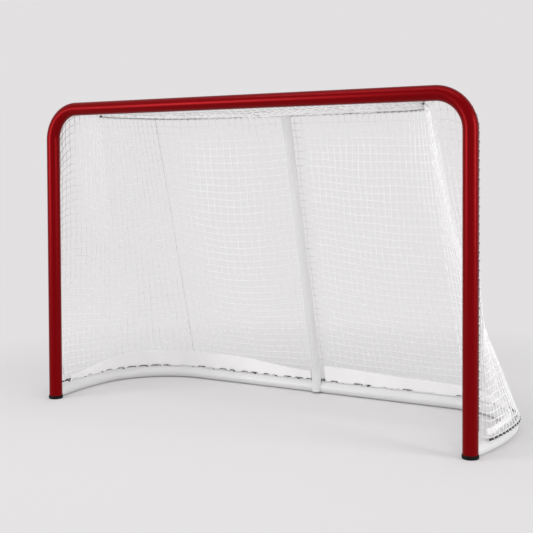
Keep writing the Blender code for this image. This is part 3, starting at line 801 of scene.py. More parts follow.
@dataclass(frozen=True)
class WovenCloth:
    """White woven cloth whose threads follow the piece's own UV map, in metres, with soil in patches and
    painted shade in the gaps between threads.
    """

    name: str = "white_canvas"
    colour: Triple = (0.91, 0.905, 0.91)
    # colour of real soil, which the painted shade in the gaps also darkens towards
    soil: Triple = (0.78, 0.775, 0.77)
    thread: float = 0.0011
    thread_waver: float = 0.4
    thread_height: float = 0.0002
    thread_strength: float = 0.5
    fuzz_height: float = 0.0001
    fuzz_strength: float = 0.3
    soil_amount: float = 0.35
    # share of painted shade in the gaps of the weave
    gap_soil: float = 0.12
    roughness: float = 0.78
    sheen: float = 0.1

    def material(self, group: bpy.types.NodeTree) -> bpy.types.Material:
        """Weaves the cloth.

        Args:
            group: The shared group of spun fibre.

        Returns:
            The cloth's material.
        """
        made, wires, shader = started(self.name)
        spot = wires.add("UVMap").outputs["UV"]
        scale = math.pi / (10 * self.thread)
        weave = wires.math("MULTIPLY", *(wires.waves(spot, way, scale, self.thread_waver) for way in "XY"))
        fibre = wires.shared(group, soil_amount=self.soil_amount)
        base = wires.mix(fibre["Soil"], self.colour, self.soil)
        # Painted shade: the colour darkens towards the soil colour in the gaps of the weave.
        gap = wires.shade_in_hollows(weave, self.gap_soil)
        threads = wires.bump(weave, self.thread_height, self.thread_strength)
        wires.fill(shader, {
            "Base Color": wires.mix(gap, base, self.soil),
            "Normal": wires.bump(fibre["Fuzz"], self.fuzz_height, self.fuzz_strength, threads),
            "Roughness": self.roughness,
            "Sheen Weight": self.sheen,
        })
        return made


class Finishes:
    """Every material of the goal, built once."""

    def __init__(self) -> None:
        """Builds the shared groups and the materials."""
        paint, fibre = paint_group(), fibre_group()
        self.red = SprayedPaint(
            "red_gloss_paint", (0.190, 0.0006, 0.0024), (0.165, 0.0005, 0.0020), (0.26, 0.012, 0.012),
            roughness=0.30, specular=0.05, metallic=0.34, scuff_amount=0.15).material(paint)
        self.white = SprayedPaint(
            "white_paint", (0.72, 0.72, 0.725), (0.67, 0.67, 0.675), (0.50, 0.50, 0.50),
            roughness=0.36, coat=0.10, coat_roughness=0.2, specular=0.35, scuff_amount=0.45).material(paint)
        # The rods' near-black paint is partly their own colour and partly painted shadow: between the lacing
        # turns it stands for the shade between the tubes and the net's edges.
        self.rod = SprayedPaint(
            "rod_paint_and_shadow", (0.035, 0.034, 0.033), (0.060, 0.058, 0.056), (0.30, 0.29, 0.28),
            roughness=0.5, specular=0.3, scuff_amount=0.6, peel=0.0001).material(paint)
        self.rubber = MouldedRubber().material(paint)
        self.twine = SpunCord("white_twine", (0.94, 0.935, 0.94), (0.80, 0.80, 0.79),
                              strand_scale=1100.0, soil_amount=0.10).material(fibre)
        self.cord = SpunCord("white_lacing_cord", (0.82, 0.82, 0.81), (0.52, 0.51, 0.49),
                             strand_scale=800.0, soil_amount=0.5).material(fibre)
        self.cloth = WovenCloth().material(fibre)


# Tubes and their welds


def saddle(main_point: Vector, main_axis: Vector, main_radius: float, start: Vector, heading: Vector,
           radius: float, count: int) -> list[list[Vector]]:
    """Where one round tube meets another.

    Args:
        main_point: A point on the main tube's axis.
        main_axis: Direction of that axis.
        main_radius: Outer radius of the main tube.
        start: A point on the branch's axis, inside or behind the main tube.
        heading: Direction of the branch away from the main tube.
        radius: Outer radius of the branch.
        count: Steps round the branch.

    Returns:
        Runs of points on the joint: one closed run, or the open parts that meet.
    """
    heading, axis = heading.normalized(), main_axis.normalized()
    across = heading.orthogonal().normalized()
    other = heading.cross(across)
    flat_heading = heading - axis * heading.dot(axis)
    runs: list[list[Vector]] = []
    run: list[Vector] = []
    for k in range(count + 1):
        angle = 2 * math.pi * k / count
        ring = start + (across * math.cos(angle) + other * math.sin(angle)) * radius
        flat = ring - main_point
        flat -= axis * flat.dot(axis)
        a, b = flat_heading.length_squared, 2 * flat.dot(flat_heading)
        inside = b * b - 4 * a * (flat.length_squared - main_radius ** 2)
        if inside <= 0:
            if len(run) >= SHORTEST_RUN:
                runs.append(run)
            run = []
            continue
        run.append(ring + heading * ((-b + math.sqrt(inside)) / (2 * a)))
    if len(run) >= SHORTEST_RUN:
        runs.append(run)
    if len(runs) > 1 and (runs[0][0] - runs[-1][-1]).length < SAME_PLACE:
        runs[0] = runs.pop()[:-1] + runs[0]
    return runs


@dataclass
class TubeFrame:
    """The mouth, the base tube, the top tube, the centre post and their welds."""

    layout: Layout
    finishes: Finishes
    mouth_sides: int = 48
    tube_sides: int = 40
    centre_diameter: float = 0.040
    centre_wall: float = 0.0025
    centre_top_setback: float = 0.028
    centre_foot_setback: float = 0.020
    centre_top_drop: float = 0.004
    centre_foot_height: float = 0.009
    centre_straight_foot: float = 0.095
    centre_bend: float = 0.300
    centre_bend_step: float = math.radians(1.5)
    base_setback: float = 0.004
    top_setback: float = 0.006
    bead: float = 0.0062
    bead_sides: int = 8
    bead_lowest: float = 0.6
    ripple: float = 0.10
    ripple_pace: float = 2.1
    slow_ripple: float = 0.06
    slow_ripple_pace: float = 0.7
    heading_reach: float = 0.02
    weld_steps: int = 64
    base_weld_steps: int = 72

    def centre_line(self) -> Route:
        """Line of the centre post.

        Returns:
            From the top tube's lower front, leaning back, then upright on the base tube's front.
        """
        lay = self.layout
        foot_y = lay.front_y + lay.base.depth - self.centre_foot_setback
        top = Vector((0, lay.front_y + lay.top.depth - self.centre_top_setback,
                      lay.crossbar_z - self.centre_top_drop))
        turn = Vector((0, foot_y, self.centre_straight_foot + self.centre_foot_height))
        lean = math.atan2(turn.y - top.y, top.z - turn.z)
        centre = Vector((0, foot_y - self.centre_bend, turn.z - self.centre_bend * math.tan(lean / 2)))
        points = [top]
        for angle in arc_angles(lean, 0.0, self.centre_bend_step):
            points.append(centre + self.centre_bend * Vector((0, math.cos(angle), math.sin(angle))))
        points.append(Vector((0, foot_y, self.centre_foot_height)))
        return Route(points, [ACROSS] * len(points), BACK)

    def build(self) -> None:
        """Builds the tubes, then their welds."""
        lay, paint = self.layout, self.finishes
        mesh = swept_tube("mouth_tube", lay.mouth_line, lay.mouth_radius, self.mouth_sides, lay.mouth_wall)
        place("mouth_tube", mesh, paint.red, Slot.RED,
              ["left_post", "left_corner", "crossbar", "right_corner", "right_post"])
        base = lay.base_line.part(*lay.base_line.inset(self.base_setback))
        top = lay.top_line.part(*lay.top_line.inset(self.top_setback))
        self.centre = self.centre_line()
        for name, line, radius, wall, node in (
                ("rear_base_tube", base, lay.base.radius, lay.base.wall, "base_tube"),
                ("rear_top_tube", top, lay.top.radius, lay.top.wall, "top_tube"),
                ("rear_centre_post", self.centre, self.centre_diameter / 2, self.centre_wall, "centre_post")):
            mesh = swept_tube(name, line, radius, self.tube_sides, wall)
            place(name, mesh, paint.white, Slot.WHITE, [node])
        self.build_welds()

    def weld(self, name: str, runs: Sequence[Sequence[Vector]], closed: bool) -> None:
        """A bead along runs of points, with the ripple of a hand-laid weld, that stays above the floor.

        Args:
            name: Name of the piece.
            runs: Points of each run.
            closed: Whether each run ends where it starts.
        """
        def swell(number: int) -> float:
            """Bead size at a point, in two ripples that don't keep step with the points."""
            slow = self.slow_ripple * math.sin(number * self.slow_ripple_pace)
            return 1.0 + self.ripple * math.sin(number * self.ripple_pace) + slow

        lowest = self.bead * self.bead_lowest
        runs = [[Vector((*spot.xy, max(spot.z, lowest))) for spot in run] for run in runs]
        runs = [run[:-1] for run in runs] if closed else runs
        mesh = swept_cords(name, runs, self.bead, self.bead_sides, swell, closed)
        place(name, mesh, self.finishes.white, Slot.WHITE)

    def build_welds(self) -> None:
        """Beads where the base tube, the top tube and the centre post meet what carries them."""
        lay, steps = self.layout, self.weld_steps
        joints = (("base_weld", lay.base_line, UP, lay.base.radius, self.base_weld_steps),
                  ("top_weld", lay.top_line, ACROSS, lay.top.radius, steps))
        for side in Side:
            for name, line, axis, radius, count in joints:
                start, ahead = (side.place(line.at(distance)) for distance in (0.0, self.heading_reach))
                runs = saddle(start, axis, lay.mouth_radius, start, ahead - start, radius, count)
                self.weld(f"{name}_{side.word}", runs, True)
        top, next_down, foot = self.centre.points[0], self.centre.points[1], self.centre.points[-1]
        bar = Vector((0, lay.front_y + lay.top.depth, lay.crossbar_z))
        self.weld("centre_top_weld", saddle(bar, ACROSS, lay.top.radius, top, next_down - top,
                                            self.centre_diameter / 2, steps), False)
        bar = Vector((0, lay.front_y + lay.base.depth, lay.base.radius))
        start = Vector((foot.x, foot.y, lay.base.radius))
        self.weld("centre_foot_weld", saddle(bar, ACROSS, lay.base.radius, start, UP,
                                             self.centre_diameter / 2, steps), False)


@dataclass
class FootCaps:
    """Turned rubber ferrules under the two posts."""

    layout: Layout
    finishes: Finishes
    height: float = 0.014
    floor: float = 0.005
    wall: float = 0.0025
    spigot_wall: float = 0.004
    spigot_height: float = 0.022
    edge_round: float = 0.0035
    round_step: float = math.radians(30.0)
    top_chamfer: float = 0.0008
    groove: float = 0.0006
    groove_drops: tuple[float, ...] = (0.0045, 0.0040, 0.0032, 0.0027)
    clearance: float = 0.0001
    spigot_clearance: float = 0.0006
    steps: int = 64

    def profile(self) -> list[tuple[float, float]]:
        """Section of a cap.

        Returns:
            Radius and height of each corner, from the underside's inner edge round to the spigot.
        """
        outer = self.layout.mouth_radius + self.wall
        inner = self.layout.mouth_radius + self.clearance
        bore = self.layout.mouth_radius - self.layout.mouth_wall - self.spigot_clearance
        edge = [(outer - self.edge_round * (1 - math.sin(a)), self.edge_round * (1 - math.cos(a)))
                for a in arc_angles(0.0, math.pi / 2, self.round_step)]
        cuts = zip((0.0, self.groove, self.groove, 0.0), self.groove_drops)
        lip = [(outer - cut, self.height - drop) for cut, drop in cuts]
        lip += [(outer, self.height - self.top_chamfer), (outer - self.top_chamfer, self.height)]
        return [(bore - self.spigot_wall, 0.0), *edge, *lip, (inner, self.height), (inner, self.floor),
                (bore, self.floor), (bore, self.spigot_height), (bore - self.spigot_wall, self.spigot_height)]

    def build(self) -> None:
        """Turns one cap for each post."""
        for side in Side:
            bm = bmesh.new()
            verts = [bm.verts.new((radius, 0, height)) for radius, height in self.profile()]
            edges = [bm.edges.new((verts[k], verts[(k + 1) % len(verts)])) for k in range(len(verts))]
            bmesh.ops.spin(bm, geom=verts + edges, cent=(0, 0, 0), axis=(0, 0, 1), angle=2 * math.pi,
                           steps=self.steps, use_merge=True)
            bmesh.ops.recalc_face_normals(bm, faces=bm.faces)
            under_post = (side.value * self.layout.post_x, self.layout.front_y, 0)
            bmesh.ops.translate(bm, verts=bm.verts, vec=under_post)
            name = f"rubber_cap_{side.word}"
            place(name, finished_mesh(bm, name), self.finishes.rubber, Slot.RUBBER, [f"foot_cap_{side.word}"])


@dataclass
class LacingRods:
    """Thin rods welded beside the tubes, each on small tabs."""

    layout: Layout
    finishes: Finishes
    sides: int = 12
    tab_length: float = 0.010
    tab_thickness: float = 0.004
    tab_bevel: float = 0.0008
    tab_bevel_steps: int = 2
    tab_pitch: float = 0.115

    def build(self) -> None:
        """Builds the five rods."""
        lay = self.layout
        post = lay.post_rod.length
        for name, line, tube, start, end in (
                ("post_rod_left", lay.post_rod, lay.mouth_line, lay.post_rod_start, lay.post_rod_end),
                ("post_rod_right", lay.post_rod, lay.mouth_line, post - lay.post_rod_end,
                 post - lay.post_rod_start),
                ("crossbar_rod", lay.crossbar_rod, lay.mouth_line,
                 *lay.crossbar_rod.inset(lay.crossbar_rod_start)),
                ("top_rod", lay.top_rod, lay.top_line, *lay.top_rod.inset(lay.top_rod_start)),
                ("base_rod", lay.base_rod, lay.base_line, *lay.base_rod.inset(lay.base_rod_start))):
            self.rod(name, line, tube, start, end, name.replace("rod", "lacing_rod"))

    def rod(self, name: str, line: Route, tube: Route, start: float, end: float, node: str) -> None:
        """One rod with its tabs.

        Args:
            name: Name of the piece.
            line: The rod's line.
            tube: Line of the tube that carries it.
            start: Distance at which the rod starts.
            end: Distance at which it ends.
            node: Node of the frame that it replaces.
        """
        mesh = swept_tube(name, line.part(start, end), self.layout.rod_radius, self.sides)
        bm = bmesh.new()
        bm.from_mesh(mesh)
        offset = line.points[0] - tube.points[0]
        out, rise = offset.dot(line.sides[0]), offset.dot(line.rise)
        reach = self.layout.rod_radius + self.layout.rod_standoff
        count = max(2, round((end - start) / self.tab_pitch))
        for k in range(count):
            spot = start + (end - start) * (k + 0.5) / count
            outward = (line.side_at(spot) * out + line.rise * rise).normalized()
            heading = line.rise.cross(line.side_at(spot)).normalized()
            turned = Matrix((heading, outward.cross(heading), outward)).transposed().to_4x4()
            block = bmesh.ops.create_cube(bm, size=1.0)["verts"]
            bmesh.ops.scale(bm, verts=block, vec=(self.tab_length, self.tab_thickness, reach))
            bmesh.ops.bevel(bm, geom=linked_edges(block), offset=self.tab_bevel, affect="EDGES",
                            segments=self.tab_bevel_steps, profile=0.5, material=-1)
            block = [v for v in bm.verts if v.co.length < 2 * reach]
            bmesh.ops.translate(bm, verts=block, vec=(0, 0, -reach / 2))
            bmesh.ops.transform(bm, verts=block, matrix=Matrix.Translation(line.at(spot)) @ turned)
        place(name, finished_mesh(bm, name), self.finishes.rod, Slot.ROD, [node])


# The net


@dataclass
class NetShape:
    """The edges of the four net panels and how each one sags."""

    layout: Layout
    twine: float = 0.0030
    seat_gap: float = 0.0006
    side_sag: float = 0.035
    back_sag: float = 0.050
    seam_sag: float = 0.008
    roof_sag: float = 0.012
    corner_setback: float = 0.060
    corner_height: float = 0.070
    corner_share: float = 0.10

    def __post_init__(self) -> None:
        """Draws the edges of the left side, the back and the roof."""
        lay = self.layout
        self.seat = lay.rod_radius + self.twine / 2 + self.seat_gap
        self.corner = Vector((-lay.post_x, lay.front_y + self.corner_setback, self.corner_height))
        base_side = self.laid(lay.base_rod, 0.0, lay.seam_base, self.leave_up)
        post = self.laid(lay.post_rod, self.corner_height, lay.bend_start, self.leave_rear)
        bend = self.laid(lay.post_rod, lay.bend_start, lay.post_rod_end, self.leave_rear)
        top_side = self.laid(lay.top_rod, lay.top_rod_start, lay.seam_top, self.leave_down)
        self.side_low = partial(self.off_corner, base_side)
        self.post_edge = partial(self.off_corner, post)
        self.side_high = partial(self.joined, bend, 2, top_side, 3)
        self.back_low = self.laid(lay.base_rod, *lay.base_rod.inset(lay.seam_base), self.leave_up)
        self.back_high = self.laid(lay.top_rod, *lay.top_rod.inset(lay.seam_top), self.leave_down)
        self.seam = self.seam_between(self.side_low(1), self.side_high(1))
        self.roof_front = self.laid(lay.crossbar_rod, *lay.crossbar_rod.inset(lay.crossbar_rod_start),
                                    self.leave_rear)
        self.roof_rear = self.laid(lay.top_rod, *lay.top_rod.inset(lay.seam_top), self.leave_inward)
        roof_side = self.laid(lay.top_rod, lay.top_rod_start, lay.seam_top, self.leave_inward)
        self.roof_left = partial(self.joined, lambda share: self.roof_front(0), 0, roof_side, 3)

    def laid(self, line: Route, near: float, far: float, leave: Callable[[Route, float], Vector]) -> Edge:
        """An edge that lies against a rod.

        Args:
            line: The rod's line.
            near: Distance at which the edge starts.
            far: Distance at which it ends.
            leave: Direction in which the net leaves the rod.

        Returns:
            The edge, read by its share.
        """
        def find(share: float) -> Vector:
            """Point at a share."""
            spot = near + (far - near) * share
            return line.at(spot) + self.seat * leave(line, spot)

        return find

    def leave_rear(self, line: Route, distance: float) -> Vector:
        """Straight back from the mouth."""
        return BACK.copy()

    def leave_up(self, line: Route, distance: float) -> Vector:
        """From the base rod towards the top of the net."""
        top = self.layout.top_rod
        return (top.at(distance / line.length * top.length) - line.at(distance)).normalized()

    def leave_down(self, line: Route, distance: float) -> Vector:
        """From the top rod towards the base of the net."""
        base = self.layout.base_rod
        return (base.at(distance / line.length * base.length) - line.at(distance)).normalized()

    def leave_inward(self, line: Route, distance: float) -> Vector:
        """From the top rod towards the middle of the roof."""
        return -line.side_at(distance)

    def off_corner(self, rest: Edge, share: float) -> Vector:
        """Reads an edge that runs off its rod to the net's lower front corner.

        Args:
            rest: The edge along its rod.
            share: Share of the edge.

        Returns:
            The point, straight from the corner over the edge's first stretch.
        """
        if share > self.corner_share:
            return rest(share)
        return self.corner.lerp(rest(self.corner_share), share / self.corner_share)

    def joined(self, first: Edge, first_gaps: int, second: Edge, second_gaps: int, share: float) -> Vector:
        """Reads one edge after another, with a straight crossing between them that takes one gap.

        Args:
            first: The first edge.
            first_gaps: Gaps that it takes, or 0 for its end alone.
            second: The second edge.
            second_gaps: Gaps that it takes.
            share: Share of the whole edge.

        Returns:
            The point.
        """
        gap = share * (first_gaps + 1 + second_gaps)
        if gap <= first_gaps:
            return first(gap / first_gaps if first_gaps else 1.0)
        if gap < first_gaps + 1:
            return first(1.0).lerp(second(0.0), gap - first_gaps)
        return second(min(1.0, (gap - first_gaps - 1) / second_gaps))

    def seam_between(self, low: Vector, high: Vector) -> Edge:
        """Where a side meets the back.

        Args:
            low: Its foot.
            high: Its top.

        Returns:
            A line from foot to top that hangs a little inwards.
        """
        inward = Vector((-math.copysign(1, low.x), -1, 0)).normalized()
        return lambda share: low.lerp(high, share) + inward * self.seam_sag * arch(share)


@dataclass
class NetPanel:
    """One panel of knotted square mesh between four edges."""

    name: str
    low: Edge
    high: Edge
    start: Edge
    end: Edge
    across: int
    up: int
    sag: Callable[[float, float], Vector]
    drape: Callable[[float, float], float]
    node: str
    seed: float
    crowding: float = 0.0
    wander: float = 0.0035
    waves: tuple[tuple[float, float], ...] = ((9.0, 1.2), (31.0, 0.9))
    edge_fade: float = 12.0
    hang: float = 0.0009

    def at(self, u: float, v: float) -> Vector:
        """Point of the hanging panel.

        Args:
            u: Share from the start edge to the end edge.
            v: Share from the low edge to the high edge.

        Returns:
            The point, with sag, drape and a little unevenness that dies out at the edges.
        """
        v = v - self.drape(u, v)
        ruled_up = self.low(u).lerp(self.high(u), v)
        ruled_across = self.start(v).lerp(self.end(v), u)
        plain = self.low(0).lerp(self.low(1), u).lerp(self.high(0).lerp(self.high(1), u), v)
        spot = ruled_up + ruled_across - plain + self.sag(u, v)
        inner = min(1.0, self.edge_fade * u * (1 - u)) * min(1.0, self.edge_fade * v * (1 - v))
        uneven = Vector()
        for (scale, weight), axis in zip(self.waves, (ACROSS, BACK)):
            uneven += noise.noise_vector(spot * scale + axis * self.seed) * weight
        return spot + uneven * self.wander * inner

    def build(self, twine: float, sides: int, knot: float, finish: bpy.types.Material) -> None:
        """Twists the twines, ties the knots and places the panel.

        Args:
            twine: Twine diameter.
            sides: Faces round a twine.
            knot: Size of a knot, as a share of the twine's diameter.
            finish: The twine's material.
        """
        shares = [k / self.across for k in range(self.across + 1)]
        shares = [share + self.crowding * arch(share) for share in shares]
        rows = [[self.at(share, row / self.up) for share in shares] for row in range(self.up + 1)]
        runs = [self.slack(row) for row in rows] + [self.slack(list(column)) for column in zip(*rows)]
        mesh = swept_cords(self.name, runs, twine, sides)
        bm = bmesh.new()
        bm.from_mesh(mesh)
        for row in rows:
            for spot in row:
                bmesh.ops.create_icosphere(bm, subdivisions=1, radius=twine * knot,
                                           matrix=Matrix.Translation(spot))
        place(self.name, finished_mesh(bm, self.name, CORD_CREASE), finish, Slot.TWINE, [self.node])

    def slack(self, points: list[Vector]) -> list[Vector]:
        """Lets each side of a mesh hang a touch below the straight line.

        Args:
            points: A twine's knots.

        Returns:
            The knots, with a point half way between each two.
        """
        run = [points[0]]
        for near, far in zip(points, points[1:]):
            middle = (near + far) / 2
            level = 1 - abs((far - near).normalized().z)
            run += [middle - UP * self.hang * level, far]
        return run


@dataclass
class Net:
    """Four panels of fine mesh, sewn to each other and laced to the rods."""

    layout: Layout
    finishes: Finishes
    shape: NetShape
    mesh_size: float = 0.031
    crowding: float = 0.06
    twine_sides: int = 6
    knot: float = 0.78
    drape_depth: float = 0.035
    right_seam_slip: float = 1.15
    side_forward_hang: float = 0.3
    post_share: float = 0.09
    seam_cord: float = 0.0024
    seam_gap: float = 0.0032
    seam_points: int = 8
    length_steps: int = 60
    side_seed: float = 3.7
    back_seed: float = 11.0
    roof_seed: float = 17.0
    noise_seed: int = 1

    def count(self, length: float) -> int:
        """Meshes along a length."""
        return max(2, round(length / self.mesh_size))

    def edge_length(self, edge: Edge) -> float:
        """Length of an edge, in short steps."""
        points = [edge(k / self.length_steps) for k in range(self.length_steps + 1)]
        return sum((b - a).length for a, b in zip(points, points[1:]))

    def beside_seam(self, share: float) -> Vector:
        """The left side panel's rear edge, which lies beside the back panel's edge."""
        return self.shape.seam(share) - ACROSS * self.seam_gap

    def side_sag(self, side: Side, u: float, v: float) -> Vector:
        """Inward hang of a side panel at a point."""
        hang = self.shape.side_sag * arch(v) * arch(u)
        return side.place(Vector((1, -self.side_forward_hang, 0)) * hang)

    def back_sag(self, u: float, v: float) -> Vector:
        """Forward belly of the back panel, one on each side of the centre post."""
        from_post = max(0.0, abs(2 * u - 1) - self.post_share) / (1 - self.post_share)
        return -BACK * self.shape.back_sag * arch(v) * arch(from_post)

    def roof_sag(self, u: float, v: float) -> Vector:
        """Downward hang of the roof."""
        return -UP * self.shape.roof_sag * arch(u) * arch(v)

    def side_drape(self, side: Side, u: float, v: float) -> float:
        """How far a side panel's meshes slip down."""
        at_seam = self.right_seam_slip if side is Side.RIGHT else 0.0
        return self.drape_depth * (arch(u) + at_seam * u * u) * arch(v)

    def back_drape(self, u: float, v: float) -> float:
        """How far the back panel's meshes slip down.

        Args:
            u: Share from the left seam to the right seam.
            v: Share from the base to the top.

        Returns:
            The slip, between the left seam and the post, and at the right seam.
        """
        from_post = 2 * u - 1
        across = self.right_seam_slip * arch(from_post / 2) if from_post > 0 else arch(-from_post)
        return self.drape_depth * across * arch(v)

    def no_drape(self, u: float, v: float) -> float:
        """No slip."""
        return 0.0

    def build(self) -> None:
        """Builds the panels and their seams, with the same unevenness on every run."""
        noise.seed_set(self.noise_seed)
        net = self.shape
        back_across = self.count(self.edge_length(net.back_low))
        side_across = self.count(self.edge_length(net.side_low))
        self.up = self.count(self.edge_length(net.seam))
        roof_up = self.count(self.edge_length(net.roof_left))
        panels = []
        for side in Side:
            edges = (partial(side.edge, edge)
                     for edge in (net.side_low, net.side_high, net.post_edge, self.beside_seam))
            panels.append(NetPanel(
                f"net_mesh_{side.word}", *edges, side_across, self.up, partial(self.side_sag, side),
                partial(self.side_drape, side), f"net_side_{side.word}", self.side_seed * side.value))
        panels.append(NetPanel(
            "net_mesh_back", net.back_low, net.back_high, net.seam, partial(Side.RIGHT.edge, net.seam),
            back_across, self.up, self.back_sag, self.back_drape, "net_back", self.back_seed, self.crowding))
        panels.append(NetPanel(
            "net_mesh_roof", net.roof_front, net.roof_rear, net.roof_left,
            partial(Side.RIGHT.edge, net.roof_left), back_across, roof_up, self.roof_sag, self.no_drape,
            "net_roof", self.roof_seed, self.crowding))
        for panel in panels:
            panel.build(net.twine, self.twine_sides, self.knot, self.finishes.twine)
        self.build_seams()
        log.info("net: %d by %d meshes in the back, in a goal %.2f m wide", back_across, self.up,
                 2 * self.layout.post_x)

    def build_seams(self) -> None:
        """A cord that winds up each corner, where a side panel is sewn to the back."""
        steps = self.up * self.seam_points
        reach = (self.seam_gap + self.shape.twine + self.seam_cord) / 2
        for side in Side:
            run = []
            for k in range(steps + 1):
                share = k / steps
                spot = side.edge(self.shape.seam, share) + ACROSS * side.value * self.seam_gap / 2
                turn = math.pi * share * self.up
                run.append(spot + (ACROSS * math.cos(turn) + BACK * math.sin(turn)) * reach)
            name = f"seam_cord_{side.word}"
            cord = swept_cords(name, [run], self.seam_cord, self.twine_sides)
            place(name, cord, self.finishes.twine, Slot.CORD)


@dataclass
class Lacing:
    """A cord wound along each rod, once for each mesh of the net beside it."""

    layout: Layout
    finishes: Finishes
    shape: NetShape
    net: Net
    cord: float = 0.0030
    points_per_turn: int = 10
    sides: int = 6
    post_start_share: float = 0.10
    unevenness: float = 0.15
    uneven_turns: float = 0.6
    clearance: float = 0.0002

    def build(self) -> None:
        """Winds the five cords."""
        lay, net = self.layout, self.shape
        post = lay.post_rod.length
        start, end = lay.bend_start * self.post_start_share, lay.post_rod_end
        bar, top = lay.crossbar_rod.inset(lay.crossbar_rod_start), lay.top_rod.inset(lay.top_rod_start)
        for name, line, stretch, leaves, node, seed in (
                ("post_lacing_left", lay.post_rod, (start, end), [net.leave_rear], "lacing_post_left", -1.3),
                ("post_lacing_right", lay.post_rod, (post - end, post - start), [net.leave_rear],
                 "lacing_post_right", 1.3),
                ("crossbar_lacing", lay.crossbar_rod, bar, [net.leave_rear], "lacing_crossbar", 5.1),
                ("top_lacing", lay.top_rod, top, [net.leave_down, net.leave_inward], "lacing_top", 7.7),
                ("base_lacing", lay.base_rod, lay.base_rod.inset(lay.base_rod_start), [net.leave_up],
                 "lacing_base", 9.2)):
            self.wind(name, line, *stretch, leaves, node, seed)

    def wind(self, name: str, line: Route, start: float, end: float,
             leaves: Sequence[Callable[[Route, float], Vector]], node: str, seed: float) -> None:
        """One cord round a rod and the net edges beside it.

        Args:
            name: Name of the piece.
            line: The rod's line.
            start: Distance at which the cord starts.
            end: Distance at which it ends.
            leaves: For each net edge, the direction in which it leaves the rod at a distance.
            node: Node of the frame that the cord replaces.
            seed: Moves the unevenness.
        """
        turns = max(2, round((end - start) / self.net.mesh_size))
        run = []
        for k in range(turns * self.points_per_turn + 1):
            turn = k / self.points_per_turn
            uneven = self.unevenness * noise.noise(Vector((turn * self.uneven_turns, seed, 0)))
            distance = start + (end - start) * min(1.0, max(0.0, (turn + uneven) / turns))
            side, rise = line.side_at(distance), line.rise
            discs = [(0.0, 0.0, self.layout.rod_radius)]
            away = Vector((0, 0))
            for leave in leaves:
                offset = leave(line, distance) * self.shape.seat
                flat = Vector((offset.dot(side), offset.dot(rise)))
                discs.append((flat.x, flat.y, self.shape.twine / 2))
                away += flat
            angle = math.atan2(-away.y, -away.x) + 2 * math.pi * turn
            reach = max(x * math.cos(angle) + y * math.sin(angle) + radius for x, y, radius in discs)
            reach += self.cord / 2 + self.clearance
            run.append(line.at(distance) + side * reach * math.cos(angle) + rise * reach * math.sin(angle))
        place(name, swept_cords(name, [run], self.cord, self.sides), self.finishes.cord, Slot.CORD, [node])


@dataclass
class Skirt:
    """A strip of canvas along the base tube, just inside the net, in two halves."""

    layout: Layout
    finishes: Finishes
    shape: NetShape
    thickness: float = 0.0016
    end_setback: float = 0.120
    centre_gap: float = 0.034
    left_heights: tuple[float, ...] = (0.030, 0.085, 0.080, 0.045)
    right_heights: tuple[float, ...] = (0.075, 0.060, 0.040, 0.025)
    columns: int = 260
    rows: int = 8
    arch_height: float = 0.0090
    arch_waves: float = 17.0
    arch_threshold: float = 0.04
    arch_steepness: float = 6.0
    arch_seed: float = 3.0
    arch_slice: float = 2.0
    fold: float = 0.0022
    fold_waves: float = 16.0
    fold_rise: float = 1.5
    fold_seed: float = 4.0
    off_tube: float = 0.0009
    hem: float = 0.0016
    hem_sides: int = 6

    def build(self) -> None:
        """Cuts, folds and hems both halves."""
        start, end = self.layout.base_line.inset(self.end_setback)
        middle = self.layout.base_line.length / 2
        self.half(Side.LEFT, start, middle - self.centre_gap, self.left_heights)
        self.half(Side.RIGHT, middle + self.centre_gap, end, self.right_heights)

    def height(self, share: float, heights: Sequence[float]) -> float:
        """Height of the cloth.

        Args:
            share: Share of its length.
            heights: Heights at even steps.

        Returns:
            The height, in a smooth line through the given ones.
        """
        spot = share * (len(heights) - 1)
        k = min(int(spot), len(heights) - 2)
        blend = 0.5 - 0.5 * math.cos(math.pi * (spot - k))
        return heights[k] + (heights[k + 1] - heights[k]) * blend

    def lift(self, side: Side, distance: float) -> float:
        """How far the lower edge arches up off the tube between two stitches."""
        spot = Vector((distance * self.arch_waves, self.arch_slice, side.value * self.arch_seed))
        steep = self.arch_steepness * (abs(noise.noise(spot)) - self.arch_threshold)
        return self.arch_height * min(1.0, max(0.0, steep))

    def half(self, side: Side, start: float, end: float, heights: Sequence[float]) -> None:
        """One half of the skirt.

        Args:
            side: The side that it is on.
            start: Distance along the base tube at which it starts.
            end: Distance at which it ends.
            heights: Heights at even steps from start to end.
        """
        lay = self.layout
        bm = bmesh.new()
        bmesh.ops.create_grid(bm, x_segments=self.columns, y_segments=self.rows, size=0.5, calc_uvs=True)
        sizes = bm.loops.layers.uv.verify()
        top_run = []
        for vert in bm.verts:
            share, up = vert.co.x + 0.5, vert.co.y + 0.5
            distance = start + (end - start) * share
            lean = self.shape.leave_up(lay.base_rod, distance / lay.base_line.length * lay.base_rod.length)
            out = lay.base_line.side_at(distance)
            height = self.height(share, heights)
            wave = Vector((distance * self.fold_waves, up * self.fold_rise, side.value * self.fold_seed))
            fold = self.fold * up * noise.noise(wave)
            foot = lay.base_line.at(distance) + UP * (lay.base.radius + self.off_tube)
            lift = self.lift(side, distance)
            for loop in vert.link_loops:
                loop[sizes].uv = (distance, lift + (height - lift) * up)
            vert.co = foot + lean * (lift + (height - lift) * up) + out * fold
            if abs(up - 1) < SAME_PLACE:
                top_run.append((share, vert.co.copy(), height - lift))
        bmesh.ops.recalc_face_normals(bm, faces=bm.faces)
        name = f"canvas_skirt_{side.word}"
        piece = place(name, finished_mesh(bm, name), self.finishes.cloth, Slot.CLOTH, [f"skirt_{side.word}"])
        cloth = piece.modifiers.new("cloth", "SOLIDIFY")
        cloth.thickness = self.thickness
        cloth.offset = 0
        top_run.sort(key=lambda entry: entry[0])
        hem_name = f"skirt_hem_{side.word}"
        cord = swept_cords(hem_name, [[spot for _, spot, _ in top_run]], 2 * self.hem, self.hem_sides)
        hem = place(hem_name, cord, self.finishes.cloth, Slot.CLOTH)
        max(heights)


# The studio


